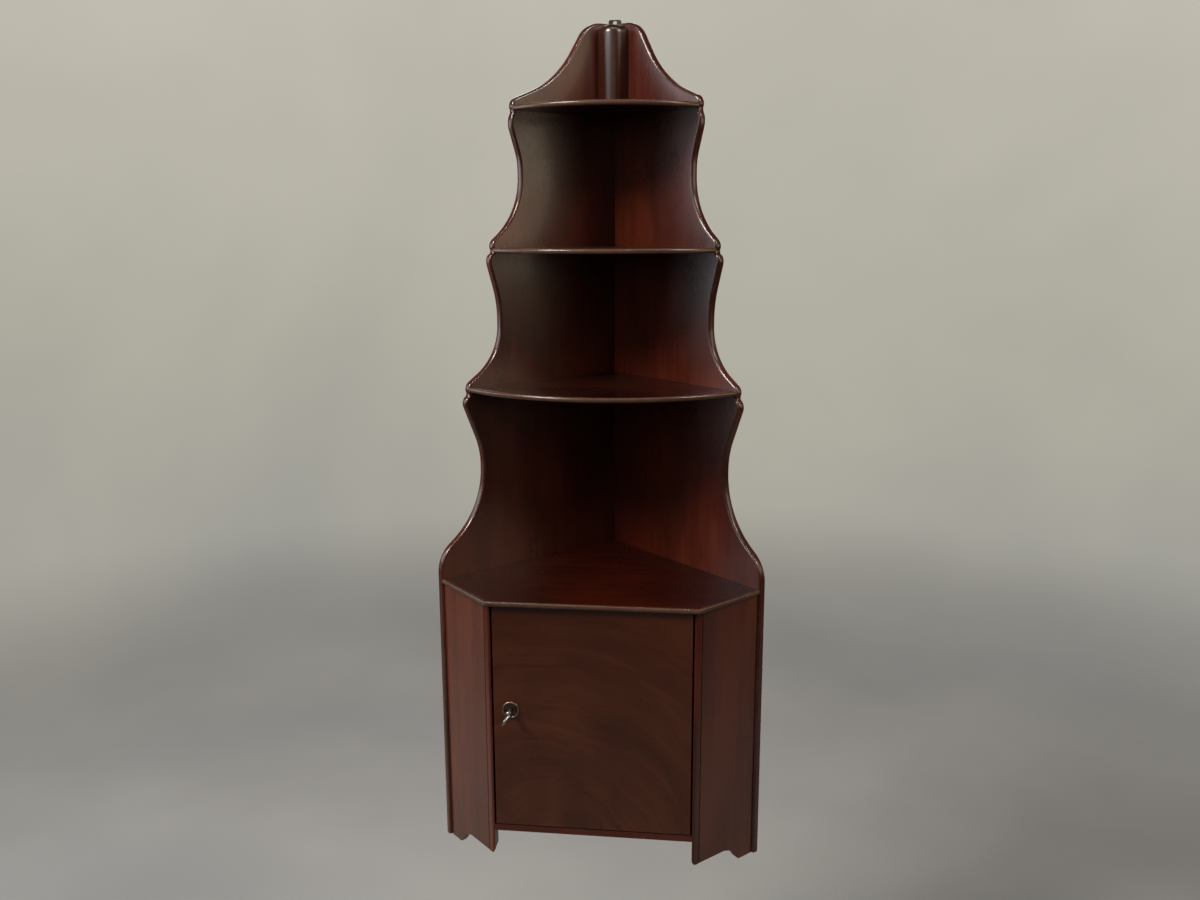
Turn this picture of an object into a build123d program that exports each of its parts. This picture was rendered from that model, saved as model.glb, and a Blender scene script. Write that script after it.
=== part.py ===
"""Hanging mahogany corner shelf with a small cupboard below, in millimetres with +Z up.

The origin is the centre of the hole in the hanging plate, at the top of the rear corner.
The front faces -Y. The two back boards meet at a right angle in the rear corner, and each
runs forward at 45 degrees. Plan places are a reach along a board's inner face from the
inner corner, or a depth straight forward from that corner.
"""
import os
from math import cos, radians, sin, sqrt

from build123d import *

os.makedirs("parts", exist_ok=True)

LEFT, RIGHT = -1, 1
SIDES = (LEFT, RIGHT)
DIAGONAL = sqrt(0.5)

# Back boards
board_height = 1010
board_reach = 271.5
board_thick = 10
board_arris = 2.8
hole_rise = 3
corner_offset = 4.5

# Shares of the boards' height, from the feet up: the cupboard, then the lower, middle and
# upper bay, each to the top face of the next board
height_shares = (0.3396, 0.2297, 0.1629, 0.1639)

# Waterfall front edge of the back boards: reaches of the lower, middle and upper shelf as
# shares of the boards' reach, and how far the edge draws in below each
reach_shares = (0.8324, 0.6891, 0.5705)
waist_depths = (18.8, 8.9, 10.5)
notch_depth = 1.2
lip_rise = 5
lip_round = 11.5
shoulder_rise = 7
shoulder_round = 42
# For the lower, middle and upper bay: nose beyond the next shelf, its drop, its round,
# the lean of the rise and of the sweep, and the drop of the notch under the shelf's top
nose_steps = (4.4, 5, 2.2)
nose_drops = (20, 15.3, 20)
nose_rounds = (14, 23, 28)
rise_leans = (22, 16.5, 18)
sweep_leans = (52, 55, 50)
notch_drops = (8.6, 3.8, 6.5)
# Shares of the upright between sweep and rise that their easing arcs take
waist_shares = ((0.69, 0.25), (0.57, 0.31), (0.68, 0.19))
nose_cap_share = 0.7
lip_share = 0.5
ease_limit_share = 0.95

# Pediment
crown_reach = 20
crown_round = 37
crown_lean = 33
crown_sweep = 68
crown_ease_share = 0.656

# Shelves and their housings in the boards
shelf_thick = 6.5
housing_depth = 3
housing_stop = 14
glue_gap = 0.1
bullnose_share = 0.46

# Corner block of the pediment
block_leg = 27
block_round = 16
block_dome = 10
block_drop = 3

# Cupboard top
top_thick = 7
top_tip_gap = 0.5
top_front_overhang = 6
top_cant_overhang = 2.8

# Canted side panels and front posts
cant_set_back = 3
front_share = 0.68209
cant_thick = 6.5
apron_rise = 20
foot_width = 20
ogee_run = 30
ogee_shares = ((0.23, 0.275), (0.37, 0.55), (0.52, 0.78), (0.78, 0.95))
post_face = 9
post_front = 2.3
post_lap = 10
post_round = 3.4
post_arris = 0.6
post_toe = 7
quirk_width = 0.9

# Cupboard bottom
bottom_thick = 8
bottom_rise = 51
bottom_set_back = 0.7

# Door and its stop
door_thick = 15
door_side_gap = 2
door_end_gap = 1
door_arris = 0.8
stop_length = 60
stop_depth = 8
stop_height = 8
stop_gap = 0.3
stop_inset = 16

# Pivot hinges
pivot_inset = 4.5
leaf_width = 7
leaf_length = 32
leaf_thick = 1.5
leaf_gap = 0.05
pin_radius = 1.5
pin_depth = 6
pin_tip = 0.8
pin_seat_gap = 0.03
pin_running_gap = 0.05
washer_radius = 3.2
washer_end_gap = 0.15
hinge_screw_first = 12
hinge_screw_pitch = 12

# Lock, measured from the key's axis
backset = 20.6
key_share = 0.54
plate_width = 40
plate_thick = 1.5
plate_margin = 8.5
selvedge_width = 9
cap_wall = 1
cap_depth = 6.5
cap_bit_gap = 2.5
cap_headroom = 4
cap_far = 16.5
bolt_thick = 3.2
bolt_low = 4.5
bolt_high = 14.5
bolt_tail = 14
bolt_recess = 0.5
bolt_throw = 5.5
bolt_gap = 0.3
talon_near = 4.8
talon_far = 11
talon_bit_gap = 0.6
mortise_gap = 0.4
feather_start = 10
feather_run = 20
feather_thick = 0.4
feather_width = 2.4
drill_radius = 1.2
drill_length = 10.5
lock_screw_near = 6
lock_screw_inset = 4
keyhole_radius = 3.2
keyhole_slot = 3
keyhole_bit_gap = 0.6

# Escutcheon
rose_radius = 10.25
rose_plate = 0.8
rose_rim_width = 1.9
rose_rim_height = 1.9
rose_spigot_radius = 5
rose_spigot_depth = 2.5

# Key, with places along its shank measured out from the door's face
key_angle = 35
shank_radius = 2.5
key_bore_gap = 0.1
key_tip_gap = 0.4
collar_place = 12
collar_length = 2.6
collar_radius = 3.8
neck_radius = 2
bow_place = 27
bow_half_length = 7
bow_half_height = 9
bow_ring = 2.2
bow_thick = 2.6
bit_height = 8
bit_width = 4.4
bit_thick = 2
ward_width = 1.1
ward_height = 2.4

# Hanging plate
plate_half = 8
hanger_thick = 2
hanger_above = 3.6
hanger_below = 42
hanger_corner = 2.5
hanger_hole = 2.5
hanger_screw_first = 14
hanger_screw_pitch = 18

# Fasteners: shank radius, head radius, length
board_screw = (1.4, 2.9, 24)
corner_screw = (1.4, 2.9, 30)
hanger_screw = (1.7, 3.4, 18)
leaf_screw = (0.9, 1.9, 5.6)
door_leaf_screw = (0.9, 1.9, 12)
lock_screw = (0.9, 1.9, 8)
screw_gap = 0.05
shelf_screw_shares = (0.3, 0.72)
corner_screw_shares = (0.08, 0.36, 0.62, 0.88)
block_screw_spread = 26
cut_overrun = 1

# Derived heights
board_top_z = -hole_rise
foot_z = board_top_z - board_height
cupboard_height, lower_bay, middle_bay, upper_bay = (share * board_height for share in height_shares)
cupboard_z = foot_z + cupboard_height
lower_shelf_z = cupboard_z + lower_bay
middle_shelf_z = lower_shelf_z + middle_bay
upper_shelf_z = middle_shelf_z + upper_bay
top_under_z = cupboard_z - top_thick
bottom_under_z = foot_z + bottom_rise
bottom_z = bottom_under_z + bottom_thick
apron_z = foot_z + apron_rise
door_top_z = top_under_z - door_end_gap
door_low_z = bottom_z + door_end_gap
key_z = door_low_z + key_share * (door_top_z - door_low_z)
block_top_z = board_top_z - block_drop

# Derived plan places
lower_reach, middle_reach, upper_reach = (share * board_reach for share in reach_shares)
cant_reach = board_reach - cant_set_back
cant_sum = 2 * DIAGONAL * cant_reach
front_depth = front_share * cant_sum
corner_half = cant_sum - front_depth
opening_half = corner_half - post_front
top_tip_reach = board_reach - top_tip_gap
top_front_depth = front_depth + top_front_overhang
top_front_half = corner_half + top_cant_overhang
door_half = opening_half - door_side_gap
key_x = -(door_half - backset)
pivot_x = door_half - pivot_inset


def plan_y(depth):
    """Y of a place that lies straight forward of the inner corner by depth."""
    return -corner_offset - depth


def wall_point(side, reach, out):
    """Plan place at a reach along a board, moved out through the board's inner face."""
    x = side * DIAGONAL * (reach + out)
    return (x, plan_y(DIAGONAL * (reach - out)))


def cant_point(side, run, inward):
    """Plan place on a canted panel, at a run forward from the board and inward of its face."""
    reach = cant_reach - inward
    return (side * DIAGONAL * (reach - run), plan_y(DIAGONAL * (reach + run)))


def wall_plane(side):
    """Upright plane on a board's inner face: X is the reach and Y is height."""
    return Plane(origin=(0, plan_y(0), 0), x_dir=(side, -1, 0), z_dir=(-1, -side, 0))


def cant_plane(side):
    """Upright plane on a canted panel's outer face: X is the run and Y is height."""
    return Plane(origin=(*cant_point(side, 0, 0), 0), x_dir=(-side, -1, 0), z_dir=(-1, side, 0))


# Derived heights in the lock, up and down from the key's axis
talon_height = bit_height + talon_bit_gap
keyhole_drop = bit_height + keyhole_bit_gap
cap_low = bit_height + cap_bit_gap
cap_high = bolt_high + cap_headroom
plate_low = cap_low + plate_margin
plate_high = cap_high + plate_margin

front_y = plan_y(front_depth)
door_back_y = front_y + door_thick
pivot_y = front_y + pivot_inset
post_run = cant_reach - corner_half / DIAGONAL - post_face
post_back_y = cant_point(RIGHT, post_run - post_lap, cant_thick)[1]

shelves = {
    "upper_shelf": (upper_reach, upper_shelf_z),
    "middle_shelf": (middle_reach, middle_shelf_z),
    "lower_shelf": (lower_reach, lower_shelf_z),
}
top_housing_reach = top_tip_reach - housing_stop
bottom_housing_reach = cant_reach - cant_thick - housing_stop
# Each housing in a back board: its reach, the top face of what it holds, and the thickness
housings = [(reach - housing_stop, top_z, shelf_thick) for reach, top_z in shelves.values()]
housings.append((top_housing_reach, cupboard_z, top_thick))
housings.append((bottom_housing_reach, bottom_z, bottom_thick))


def finish(name, made):
    """Labels a finished piece and writes it to its file."""
    made.label = name
    export_step(made, f"parts/{name}.step")


def screw_shape(sizes, gap=0):
    """A countersunk screw that points down from its head at the origin; gap makes its hole."""
    shank, head, length = sizes
    with BuildPart() as screw:
        with BuildSketch(Plane.XZ):
            with BuildLine():
                Polyline(
                    (0, 0), (head + gap, 0), (shank + gap, shank - head),
                    (shank + gap, -length - gap), (0, -length - gap), close=True,
                )
            make_face()
        revolve(axis=Axis.Z)
    return screw.part


def placed(shape, origin, direction):
    """A shape drawn pointing down, moved to origin and turned to point along direction."""
    back = tuple(-part for part in direction)
    return Plane(origin=origin, z_dir=back).location * shape


def board_screw_places(side):
    """Head centres on a back board's outer face: two into each board end, two into the block."""
    ends = [(reach, top_z - thick / 2) for reach, top_z, thick in housings]
    places = [(share * reach, z) for reach, z in ends for share in shelf_screw_shares]
    middle = (upper_shelf_z + block_top_z) / 2
    lift = board_screw[0] * 4 * side
    places += [(block_leg / 2, middle + lift + way * block_screw_spread) for way in SIDES]
    return [(*wall_point(side, reach, board_thick), z) for reach, z in places]


def board_screws(side, gap=0):
    """The screws through a back board, or with a gap their holes."""
    inward = (-side, -1, 0)
    shape = screw_shape(board_screw, gap)
    return [placed(shape, place, inward) for place in board_screw_places(side)]


def corner_screws(gap=0):
    """The screws through the left board into the end of the right one, or their holes."""
    x, y = wall_point(LEFT, -board_thick / 2, board_thick)
    heights = [foot_z + share * board_height for share in corner_screw_shares]
    shape = screw_shape(corner_screw, gap)
    return [placed(shape, (x, y, z), (1, -1, 0)) for z in heights]


def hanger_screws(gap=0):
    """The screws through the hanging plate into the corner block, or their holes."""
    heights = [-hanger_screw_first - row * hanger_screw_pitch for row in range(2)]
    shape = screw_shape(hanger_screw, gap)
    return [placed(shape, (0, hanger_thick / 2, z), (0, -1, 0)) for z in heights]


def lean(angle):
    """Direction up a board's face that leans toward the rear corner by angle."""
    return Vector(-sin(radians(angle)), cos(radians(angle)))


def meeting(start, start_lean, end, end_lean):
    """Where the line up from start meets the line down from end."""
    first, second = lean(start_lean), lean(end_lean)
    return start + first * ((end - start).cross(second).Z / first.cross(second).Z)


def eased_run(places, eases):
    """Straight lines through places, with each inner corner rounded back by its ease."""
    here = places[0]
    for corner, after, ease in zip(places[1:], places[2:], eases):
        run_in, run_out = (corner - here).normalized(), (after - corner).normalized()
        Line(here, corner - run_in * ease)
        TangentArc(corner - run_in * ease, corner + run_out * ease, tangent=run_in)
        here = corner + run_out * ease
    Line(here, places[-1])


def ogee(start, end, share):
    """Two arcs, upright at both ends, that change sides at a share of the way."""
    middle = start + (end - start) * share
    first = TangentArc(start, middle, tangent=(0, 1))
    TangentArc(middle, end, tangent=first % 1)


def bay_edge(start, round_size, bay, reach, top_z):
    """One bay of the waterfall edge: sweep in to the waist, rise to the nose, notch and lip."""
    nose = Vector(reach + nose_steps[bay], top_z - nose_drops[bay])
    notch = Vector(reach - notch_depth, top_z - notch_drops[bay])
    lip = notch + Vector(notch_depth, lip_rise)
    rise, sweep = -rise_leans[bay], sweep_leans[bay]
    arc = JernArc(start, (0, 1), round_size, sweep)
    nose_start = nose - Vector(1 - lean(rise).Y, lean(rise).X) * nose_rounds[bay]
    upright = Vector(reach - waist_depths[bay], nose_start.Y)
    low_bend = meeting(arc @ 1, sweep, upright, 0)
    high_bend = meeting(upright, 0, nose_start, rise)
    sweep_share, rise_share = waist_shares[bay]
    gap = high_bend.Y - low_bend.Y
    limit = ease_limit_share * (low_bend - arc @ 1).length
    eases = (min(sweep_share * gap, limit), rise_share * gap)
    eased_run([arc @ 1, low_bend, high_bend, nose_start], eases)
    JernArc(nose_start, lean(rise), nose_rounds[bay], -rise)
    ogee(nose, notch, nose_cap_share)
    ogee(notch, lip, lip_share)
    return lip


def back_board(side, rear_reach):
    """A back board with its waterfall front edge, housings, grooves and holes."""
    bays = ((lower_reach, lower_shelf_z), (middle_reach, middle_shelf_z), (upper_reach, upper_shelf_z))
    out = -side
    with BuildPart() as board:
        with BuildSketch(wall_plane(side)):
            with BuildLine():
                foot = Vector(board_reach, foot_z)
                start, round_size = Vector(board_reach, cupboard_z + shoulder_rise), shoulder_round
                Line(foot, start)
                for bay, (reach, top_z) in enumerate(bays):
                    start = bay_edge(start, round_size, bay, reach, top_z)
                    round_size = lip_round
                arc = JernArc(start, (0, 1), lip_round, crown_sweep)
                crown = Vector(crown_reach, board_top_z)
                level, edge_lean = Vector(0, crown_round), lean(crown_lean)
                crown_start = crown - level + Vector(edge_lean.Y, -edge_lean.X) * crown_round
                bend = meeting(arc @ 1, crown_sweep, crown_start, crown_lean)
                runs = [(bend - arc @ 1).length, (crown_start - bend).length]
                eased_run([arc @ 1, bend, crown_start], [crown_ease_share * min(runs)])
                JernArc(crown_start, edge_lean, crown_round, 90 - crown_lean)
                Polyline(crown, (rear_reach, board_top_z), (rear_reach, foot_z), foot)
            make_face()
        extrude(amount=out * board_thick)
        faces = board.faces().filter_by(wall_plane(side))
        edges = ShapeList(edge for face in faces for edge in face.edges())
        near_rear = crown_reach * DIAGONAL
        fillet(edges.filter_by(lambda edge: edge.center().Z > foot_z
                               and abs(edge.center().X) > near_rear), radius=board_arris)
        for reach, top_z, thick in housings:
            with BuildSketch(wall_plane(side)):
                with Locations((0, top_z - thick - glue_gap)):
                    Rectangle(reach + glue_gap, thick + 2 * glue_gap, align=(Align.MIN, Align.MIN))
            extrude(amount=out * (housing_depth + glue_gap), mode=Mode.SUBTRACT)
        with BuildSketch(wall_plane(side)):
            with Locations((cant_reach + glue_gap, foot_z - cut_overrun)):
                Rectangle(cant_thick + 2 * glue_gap, top_under_z - foot_z + cut_overrun,
                          align=(Align.MAX, Align.MIN))
        extrude(amount=out * (housing_depth + glue_gap), mode=Mode.SUBTRACT)
        with BuildSketch(Plane.XY.offset(-hanger_below - glue_gap)):
            with Locations((0, -hanger_thick / 2 - glue_gap)):
                Rectangle(2 * board_thick + corner_offset, 2 * board_thick,
                          align=(Align.CENTER, Align.MIN))
        extrude(amount=hanger_below, mode=Mode.SUBTRACT)
        add(board_screws(side, screw_gap), mode=Mode.SUBTRACT)
        add(corner_screws(screw_gap), mode=Mode.SUBTRACT)
        add(hanger_screws(screw_gap), mode=Mode.SUBTRACT)
    return board.part


def tongue(side, reach, under_z, thick):
    """The part of a horizontal board's end that stands in its housing."""
    with BuildPart() as end:
        with BuildSketch(Plane.XY.offset(under_z)):
            with BuildLine():
                Polyline(
                    wall_point(side, glue_gap, 0), wall_point(side, reach, 0),
                    wall_point(side, reach, housing_depth),
                    wall_point(side, glue_gap, housing_depth), close=True,
                )
            make_face()
        extrude(amount=thick)
    return end.part


def bowed_shelf(reach, top_z):
    """A quadrant shelf with a bull-nosed front, tongued into both boards."""
    under_z = top_z - shelf_thick
    with BuildPart() as shelf:
        with BuildSketch(Plane.XY.offset(under_z)):
            with BuildLine():
                Line((0, plan_y(0)), wall_point(RIGHT, reach, 0))
                ThreePointArc(wall_point(RIGHT, reach, 0), (0, plan_y(reach)),
                              wall_point(LEFT, reach, 0))
                Line(wall_point(LEFT, reach, 0), (0, plan_y(0)))
            make_face()
        extrude(amount=shelf_thick)
        fillet(shelf.edges().filter_by(GeomType.CIRCLE), radius=bullnose_share * shelf_thick)
        for side in SIDES:
            add(tongue(side, reach - housing_stop, under_z, shelf_thick))
            add(board_screws(side, screw_gap), mode=Mode.SUBTRACT)
    return shelf.part


def front_edges(part):
    """The level edges of the faces that look forward."""
    faces = [face for face in part.faces() if face.normal_at().Y < -DIAGONAL / 2]
    edges = ShapeList(edge for face in faces for edge in face.edges())
    return edges.filter_by(Axis.Z, reverse=True)


# Back boards: the left one runs past the end of the right one
finish("left_back_board", back_board(LEFT, -board_thick))
finish("right_back_board", back_board(RIGHT, glue_gap))

# Shelves
for name, (reach, top_z) in shelves.items():
    finish(name, bowed_shelf(reach, top_z))

# Corner block that stands on the upper shelf
with BuildPart() as corner_block:
    with BuildSketch(Plane.XY.offset(upper_shelf_z + glue_gap)) as block_plan:
        with BuildLine():
            Polyline(
                wall_point(RIGHT, glue_gap, -glue_gap), wall_point(RIGHT, block_leg, -glue_gap),
                (0, plan_y(2 * DIAGONAL * block_leg)), wall_point(LEFT, block_leg, -glue_gap),
                close=True,
            )
        make_face()
        fillet(block_plan.vertices().sort_by(Axis.Y)[0], radius=block_round)
    extrude(amount=block_top_z - upper_shelf_z - glue_gap)
    top_edges = corner_block.faces().sort_by(Axis.Z)[-1].edges()
    fillet(top_edges.filter_by(lambda edge: edge.center().Y < plan_y(block_leg / 2)),
           radius=block_dome)
    for side in SIDES:
        add(board_screws(side, screw_gap), mode=Mode.SUBTRACT)
    add(hanger_screws(screw_gap), mode=Mode.SUBTRACT)
finish("corner_block", corner_block.part)


def leaf_sketch(gap):
    """Plan of a hinge leaf, round at the pivot; gap makes its recess."""
    with Locations((pivot_x, pivot_y)):
        Circle(leaf_width / 2 + gap)
        Rectangle(leaf_length + gap, leaf_width + 2 * gap, align=(Align.MAX, Align.CENTER))


def leaf_screws(sizes, z, down, gap=0):
    """The two screws of a hinge leaf, with their heads at height z, or their holes."""
    places = [hinge_screw_first + row * hinge_screw_pitch for row in range(2)]
    shape = screw_shape(sizes, gap)
    return [placed(shape, (pivot_x - place, pivot_y, z), (0, 0, down)) for place in places]


# Cupboard top, with a bull-nosed front and canted edges
with BuildPart() as cupboard_top:
    with BuildSketch(Plane.XY.offset(top_under_z)):
        with BuildLine():
            Polyline(
                (0, plan_y(0)), wall_point(RIGHT, top_tip_reach, 0),
                (top_front_half, plan_y(top_front_depth)),
                (-top_front_half, plan_y(top_front_depth)),
                wall_point(LEFT, top_tip_reach, 0), close=True,
            )
        make_face()
    extrude(amount=top_thick)
    fillet(front_edges(cupboard_top), radius=bullnose_share * top_thick)
    for side in SIDES:
        add(tongue(side, top_housing_reach, top_under_z, top_thick))
        add(board_screws(side, screw_gap), mode=Mode.SUBTRACT)
    with BuildSketch(Plane.XY.offset(top_under_z)):
        leaf_sketch(leaf_gap)
    extrude(amount=leaf_thick + leaf_gap, mode=Mode.SUBTRACT)
    with BuildSketch(Plane.XY.offset(top_under_z)):
        with Locations((pivot_x, pivot_y)):
            Circle(pin_radius + pin_running_gap)
    extrude(amount=leaf_thick + 2 * pin_tip, mode=Mode.SUBTRACT)
    add(leaf_screws(leaf_screw, top_under_z, 1, screw_gap), mode=Mode.SUBTRACT)
finish("cupboard_top", cupboard_top.part)

# Cupboard bottom, notched round the posts
with BuildPart() as cupboard_bottom:
    inner = cant_thick + glue_gap
    meet_run = DIAGONAL * 2 * (plan_y(0) - post_back_y - glue_gap) - (cant_reach - inner)
    with BuildSketch(Plane.XY.offset(bottom_under_z)):
        with BuildLine():
            outline = [(0, plan_y(0))]
            for side, step in ((RIGHT, 1), (LEFT, -1)):
                corner_x = side * (opening_half - glue_gap)
                outline += [
                    cant_point(side, 0, inner), cant_point(side, meet_run, inner),
                    (corner_x, post_back_y + glue_gap), (corner_x, front_y + bottom_set_back),
                ][::step]
            Polyline(*outline, close=True)
        make_face()
    extrude(amount=bottom_thick)
    for side in SIDES:
        add(tongue(side, bottom_housing_reach, bottom_under_z, bottom_thick))
        add(board_screws(side, screw_gap), mode=Mode.SUBTRACT)
    with BuildSketch(Plane.XY.offset(bottom_z)):
        leaf_sketch(leaf_gap)
    extrude(amount=-leaf_thick - leaf_gap, mode=Mode.SUBTRACT)
    with BuildSketch(Plane.XY.offset(bottom_z)):
        with Locations((pivot_x, pivot_y)):
            Circle(pin_radius + pin_running_gap)
    extrude(amount=-leaf_thick - 2 * pin_tip, mode=Mode.SUBTRACT)
    add(leaf_screws(leaf_screw, bottom_z, -1, screw_gap), mode=Mode.SUBTRACT)
finish("cupboard_bottom", cupboard_bottom.part)


def cant_panel(side):
    """A canted side panel with its scalloped lower edge and a quirk beside the post."""
    with BuildPart() as panel:
        with BuildSketch(cant_plane(side)):
            with BuildLine():
                scallop = [(foot_width + along * ogee_run, foot_z + up * apron_rise)
                           for along, up in ogee_shares]
                heel = Line((-housing_depth, foot_z), (foot_width, foot_z))
                curve = Spline(heel @ 1, *scallop, (foot_width + ogee_run, apron_z),
                               tangents=[(1, 0), (1, 0)])
                Polyline(curve @ 1, (post_run - glue_gap, apron_z),
                         (post_run - glue_gap, top_under_z - glue_gap),
                         (-housing_depth, top_under_z - glue_gap), (-housing_depth, foot_z))
            make_face()
        extrude(amount=side * cant_thick)
        quirk = panel.edges().filter_by(Axis.Z).sort_by(Axis.Y)[0]
        chamfer(quirk, length=quirk_width)
    return panel.part


def bolt_box(gap, left_x, right_x):
    """The bolt's bar between two places, grown by a gap in depth and height."""
    low_z, high_z = key_z + bolt_low - gap, key_z + bolt_high + gap
    back_y = door_back_y - plate_thick - bolt_gap
    with BuildPart() as bar:
        with BuildSketch(Plane.XY.offset(low_z)):
            with Locations((left_x, back_y + gap)):
                Rectangle(right_x - left_x, bolt_thick + 2 * gap, align=(Align.MIN, Align.MAX))
        extrude(amount=high_z - low_z)
    return bar.part


def front_post(side):
    """A front post with a rounded nose, rebated behind for the canted panel."""
    corner_x = side * corner_half
    with BuildPart() as post:
        with BuildSketch(Plane.XY.offset(apron_z)) as plan:
            with BuildLine():
                Polyline(
                    (side * opening_half, front_y), (corner_x, front_y),
                    cant_point(side, post_run, 0), cant_point(side, post_run, cant_thick + glue_gap),
                    cant_point(side, post_run - post_lap, cant_thick + glue_gap),
                    (side * opening_half, post_back_y), close=True,
                )
            make_face()
            by_front = plan.vertices().sort_by(Axis.Y)
            nose = by_front[:2].sort_by(lambda vertex: abs(vertex.X))
            fillet(nose[1], radius=post_round)
            arris = plan.vertices().group_by(Axis.Y)[0].sort_by(lambda vertex: abs(vertex.X))[0]
            fillet(arris, radius=post_arris)
            quirk = plan.vertices().sort_by(lambda vertex: -abs(vertex.X) + vertex.Y)[0]
            chamfer(quirk, length=quirk_width)
        extrude(amount=top_under_z - glue_gap - apron_z)
        with BuildSketch(Plane.XZ.offset(-post_back_y - cut_overrun)) as toe:
            with Locations((side * opening_half, apron_z)):
                Rectangle(2 * post_toe, 2 * post_toe)
            with Locations((side * (opening_half + post_toe), apron_z + post_toe)):
                Circle(post_toe, mode=Mode.SUBTRACT)
                Rectangle(2 * post_toe, 2 * post_toe, mode=Mode.SUBTRACT,
                          align=(Align.MIN if side > 0 else Align.MAX, Align.CENTER))
            with Locations((side * opening_half, apron_z + post_toe)):
                Rectangle(2 * post_toe, post_toe, mode=Mode.SUBTRACT, align=(Align.CENTER, Align.MIN))
        extrude(amount=front_depth, mode=Mode.SUBTRACT)
        if side == LEFT:
            reach_in = -door_half + bolt_recess - bolt_throw - mortise_gap
            add(bolt_box(mortise_gap, reach_in, -opening_half + cut_overrun), mode=Mode.SUBTRACT)
    return post.part


# Canted panels and front posts
for side, word in ((LEFT, "left"), (RIGHT, "right")):
    finish(f"{word}_cant_panel", cant_panel(side))
    finish(f"{word}_front_post", front_post(side))

# Door stop under the cupboard top, on the lock side
with BuildPart() as door_stop:
    with BuildSketch(Plane.XY.offset(top_under_z - stop_height)):
        with Locations((-opening_half + stop_inset, door_back_y + stop_gap)):
            Rectangle(stop_length, stop_depth, align=(Align.MIN, Align.MIN))
    extrude(amount=stop_height - glue_gap)
finish("door_stop", door_stop.part)


def keyhole_sketch(grow=0):
    """A keyhole seen from the front: a round hole with a slot below it."""
    with Locations((key_x, key_z)):
        Circle(keyhole_radius + grow)
        Rectangle(keyhole_slot + 2 * grow, keyhole_drop + grow, align=(Align.CENTER, Align.MAX))


def lock_screws(gap=0):
    """The screws through the lock's rear plate, or their holes."""
    low_z, high_z = key_z - plate_low, key_z + plate_high
    shape = screw_shape(lock_screw, gap)
    return [
        placed(shape, (x, door_back_y, z), (0, -1, 0))
        for x in (-door_half + lock_screw_near, -door_half + plate_width - lock_screw_inset)
        for z in (low_z + lock_screw_inset, high_z - lock_screw_inset)
    ]


def lock_block(left_x, right_x, low, high, front, back):
    """A plain block about the lock: X places, heights from the key's axis, and Y places."""
    with BuildPart() as block:
        with BuildSketch(Plane.XY.offset(key_z + low)):
            with Locations((left_x, front)):
                Rectangle(right_x - left_x, back - front, align=(Align.MIN, Align.MIN))
        extrude(amount=high - low)
    return block.part


plate_front_y = door_back_y - plate_thick
cap_front_y = plate_front_y - cap_depth
edge_x = -door_half
pocket = glue_gap

# Door: a plain slab, let in for the hinge leaves, the lock and the escutcheon
with BuildPart() as door_panel:
    with BuildSketch(Plane.XY.offset(door_low_z)):
        with Locations((0, front_y)):
            Rectangle(2 * door_half, door_thick, align=(Align.CENTER, Align.MIN))
    extrude(amount=door_top_z - door_low_z)
    fillet(door_panel.faces().sort_by(Axis.Y)[0].edges(), radius=door_arris)
    for face_z, inward in ((door_top_z, -1), (door_low_z, 1)):
        with BuildSketch(Plane.XY.offset(face_z)):
            leaf_sketch(leaf_gap)
        extrude(amount=inward * (leaf_thick + leaf_gap), mode=Mode.SUBTRACT)
        with BuildSketch(Plane.XY.offset(face_z)):
            with Locations((pivot_x, pivot_y)):
                Circle(pin_radius + pin_seat_gap)
        extrude(amount=inward * (pin_depth + pin_seat_gap), mode=Mode.SUBTRACT)
        add(leaf_screws(door_leaf_screw, face_z, inward, screw_gap), mode=Mode.SUBTRACT)
    add(lock_block(edge_x - cut_overrun, edge_x + plate_width + pocket, -plate_low - pocket,
                   plate_high + pocket, plate_front_y - pocket, door_back_y + cut_overrun),
        mode=Mode.SUBTRACT)
    add(lock_block(edge_x - cut_overrun, edge_x + plate_thick + pocket, -plate_low - pocket,
                   plate_high + pocket, door_back_y - selvedge_width - pocket, door_back_y),
        mode=Mode.SUBTRACT)
    add(lock_block(edge_x, key_x + cap_far + pocket, -cap_low - pocket, cap_high + pocket,
                   cap_front_y - pocket, door_back_y), mode=Mode.SUBTRACT)
    with BuildSketch(Plane.XZ.offset(-door_back_y)):
        keyhole_sketch()
    extrude(amount=door_thick + cut_overrun, mode=Mode.SUBTRACT)
    with BuildSketch(Plane.XZ.offset(-front_y)):
        with Locations((key_x, key_z)):
            Circle(rose_spigot_radius + pocket)
    extrude(amount=-rose_spigot_depth - pocket, mode=Mode.SUBTRACT)
    add(lock_screws(screw_gap), mode=Mode.SUBTRACT)
finish("door_panel", door_panel.part)

# Pivot hinges: a leaf in the cupboard and a leaf in the door at each end
leaf_faces = {
    "upper_carcass_leaf": (top_under_z, 1, pin_running_gap, leaf_screw),
    "upper_door_leaf": (door_top_z, -1, pin_seat_gap, door_leaf_screw),
    "lower_carcass_leaf": (bottom_z, -1, pin_running_gap, leaf_screw),
    "lower_door_leaf": (door_low_z, 1, pin_seat_gap, door_leaf_screw),
}
for name, (face_z, into, hole_gap, sizes) in leaf_faces.items():
    with BuildPart() as leaf:
        with BuildSketch(Plane.XY.offset(face_z)):
            leaf_sketch(0)
            with Locations((pivot_x, pivot_y)):
                Circle(pin_radius + hole_gap, mode=Mode.SUBTRACT)
        extrude(amount=into * leaf_thick)
        add(leaf_screws(sizes, face_z, into, screw_gap), mode=Mode.SUBTRACT)
    finish(name, leaf.part)

with BuildPart() as hinge_pins:
    for face_z, into in ((door_top_z, -1), (door_low_z, 1)):
        with BuildSketch(Plane.XY.offset(face_z + into * pin_depth)):
            with Locations((pivot_x, pivot_y)):
                Circle(pin_radius)
        extrude(amount=-into * (pin_depth + door_end_gap + leaf_thick + pin_tip))
finish("hinge_pins", hinge_pins.part)

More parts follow.
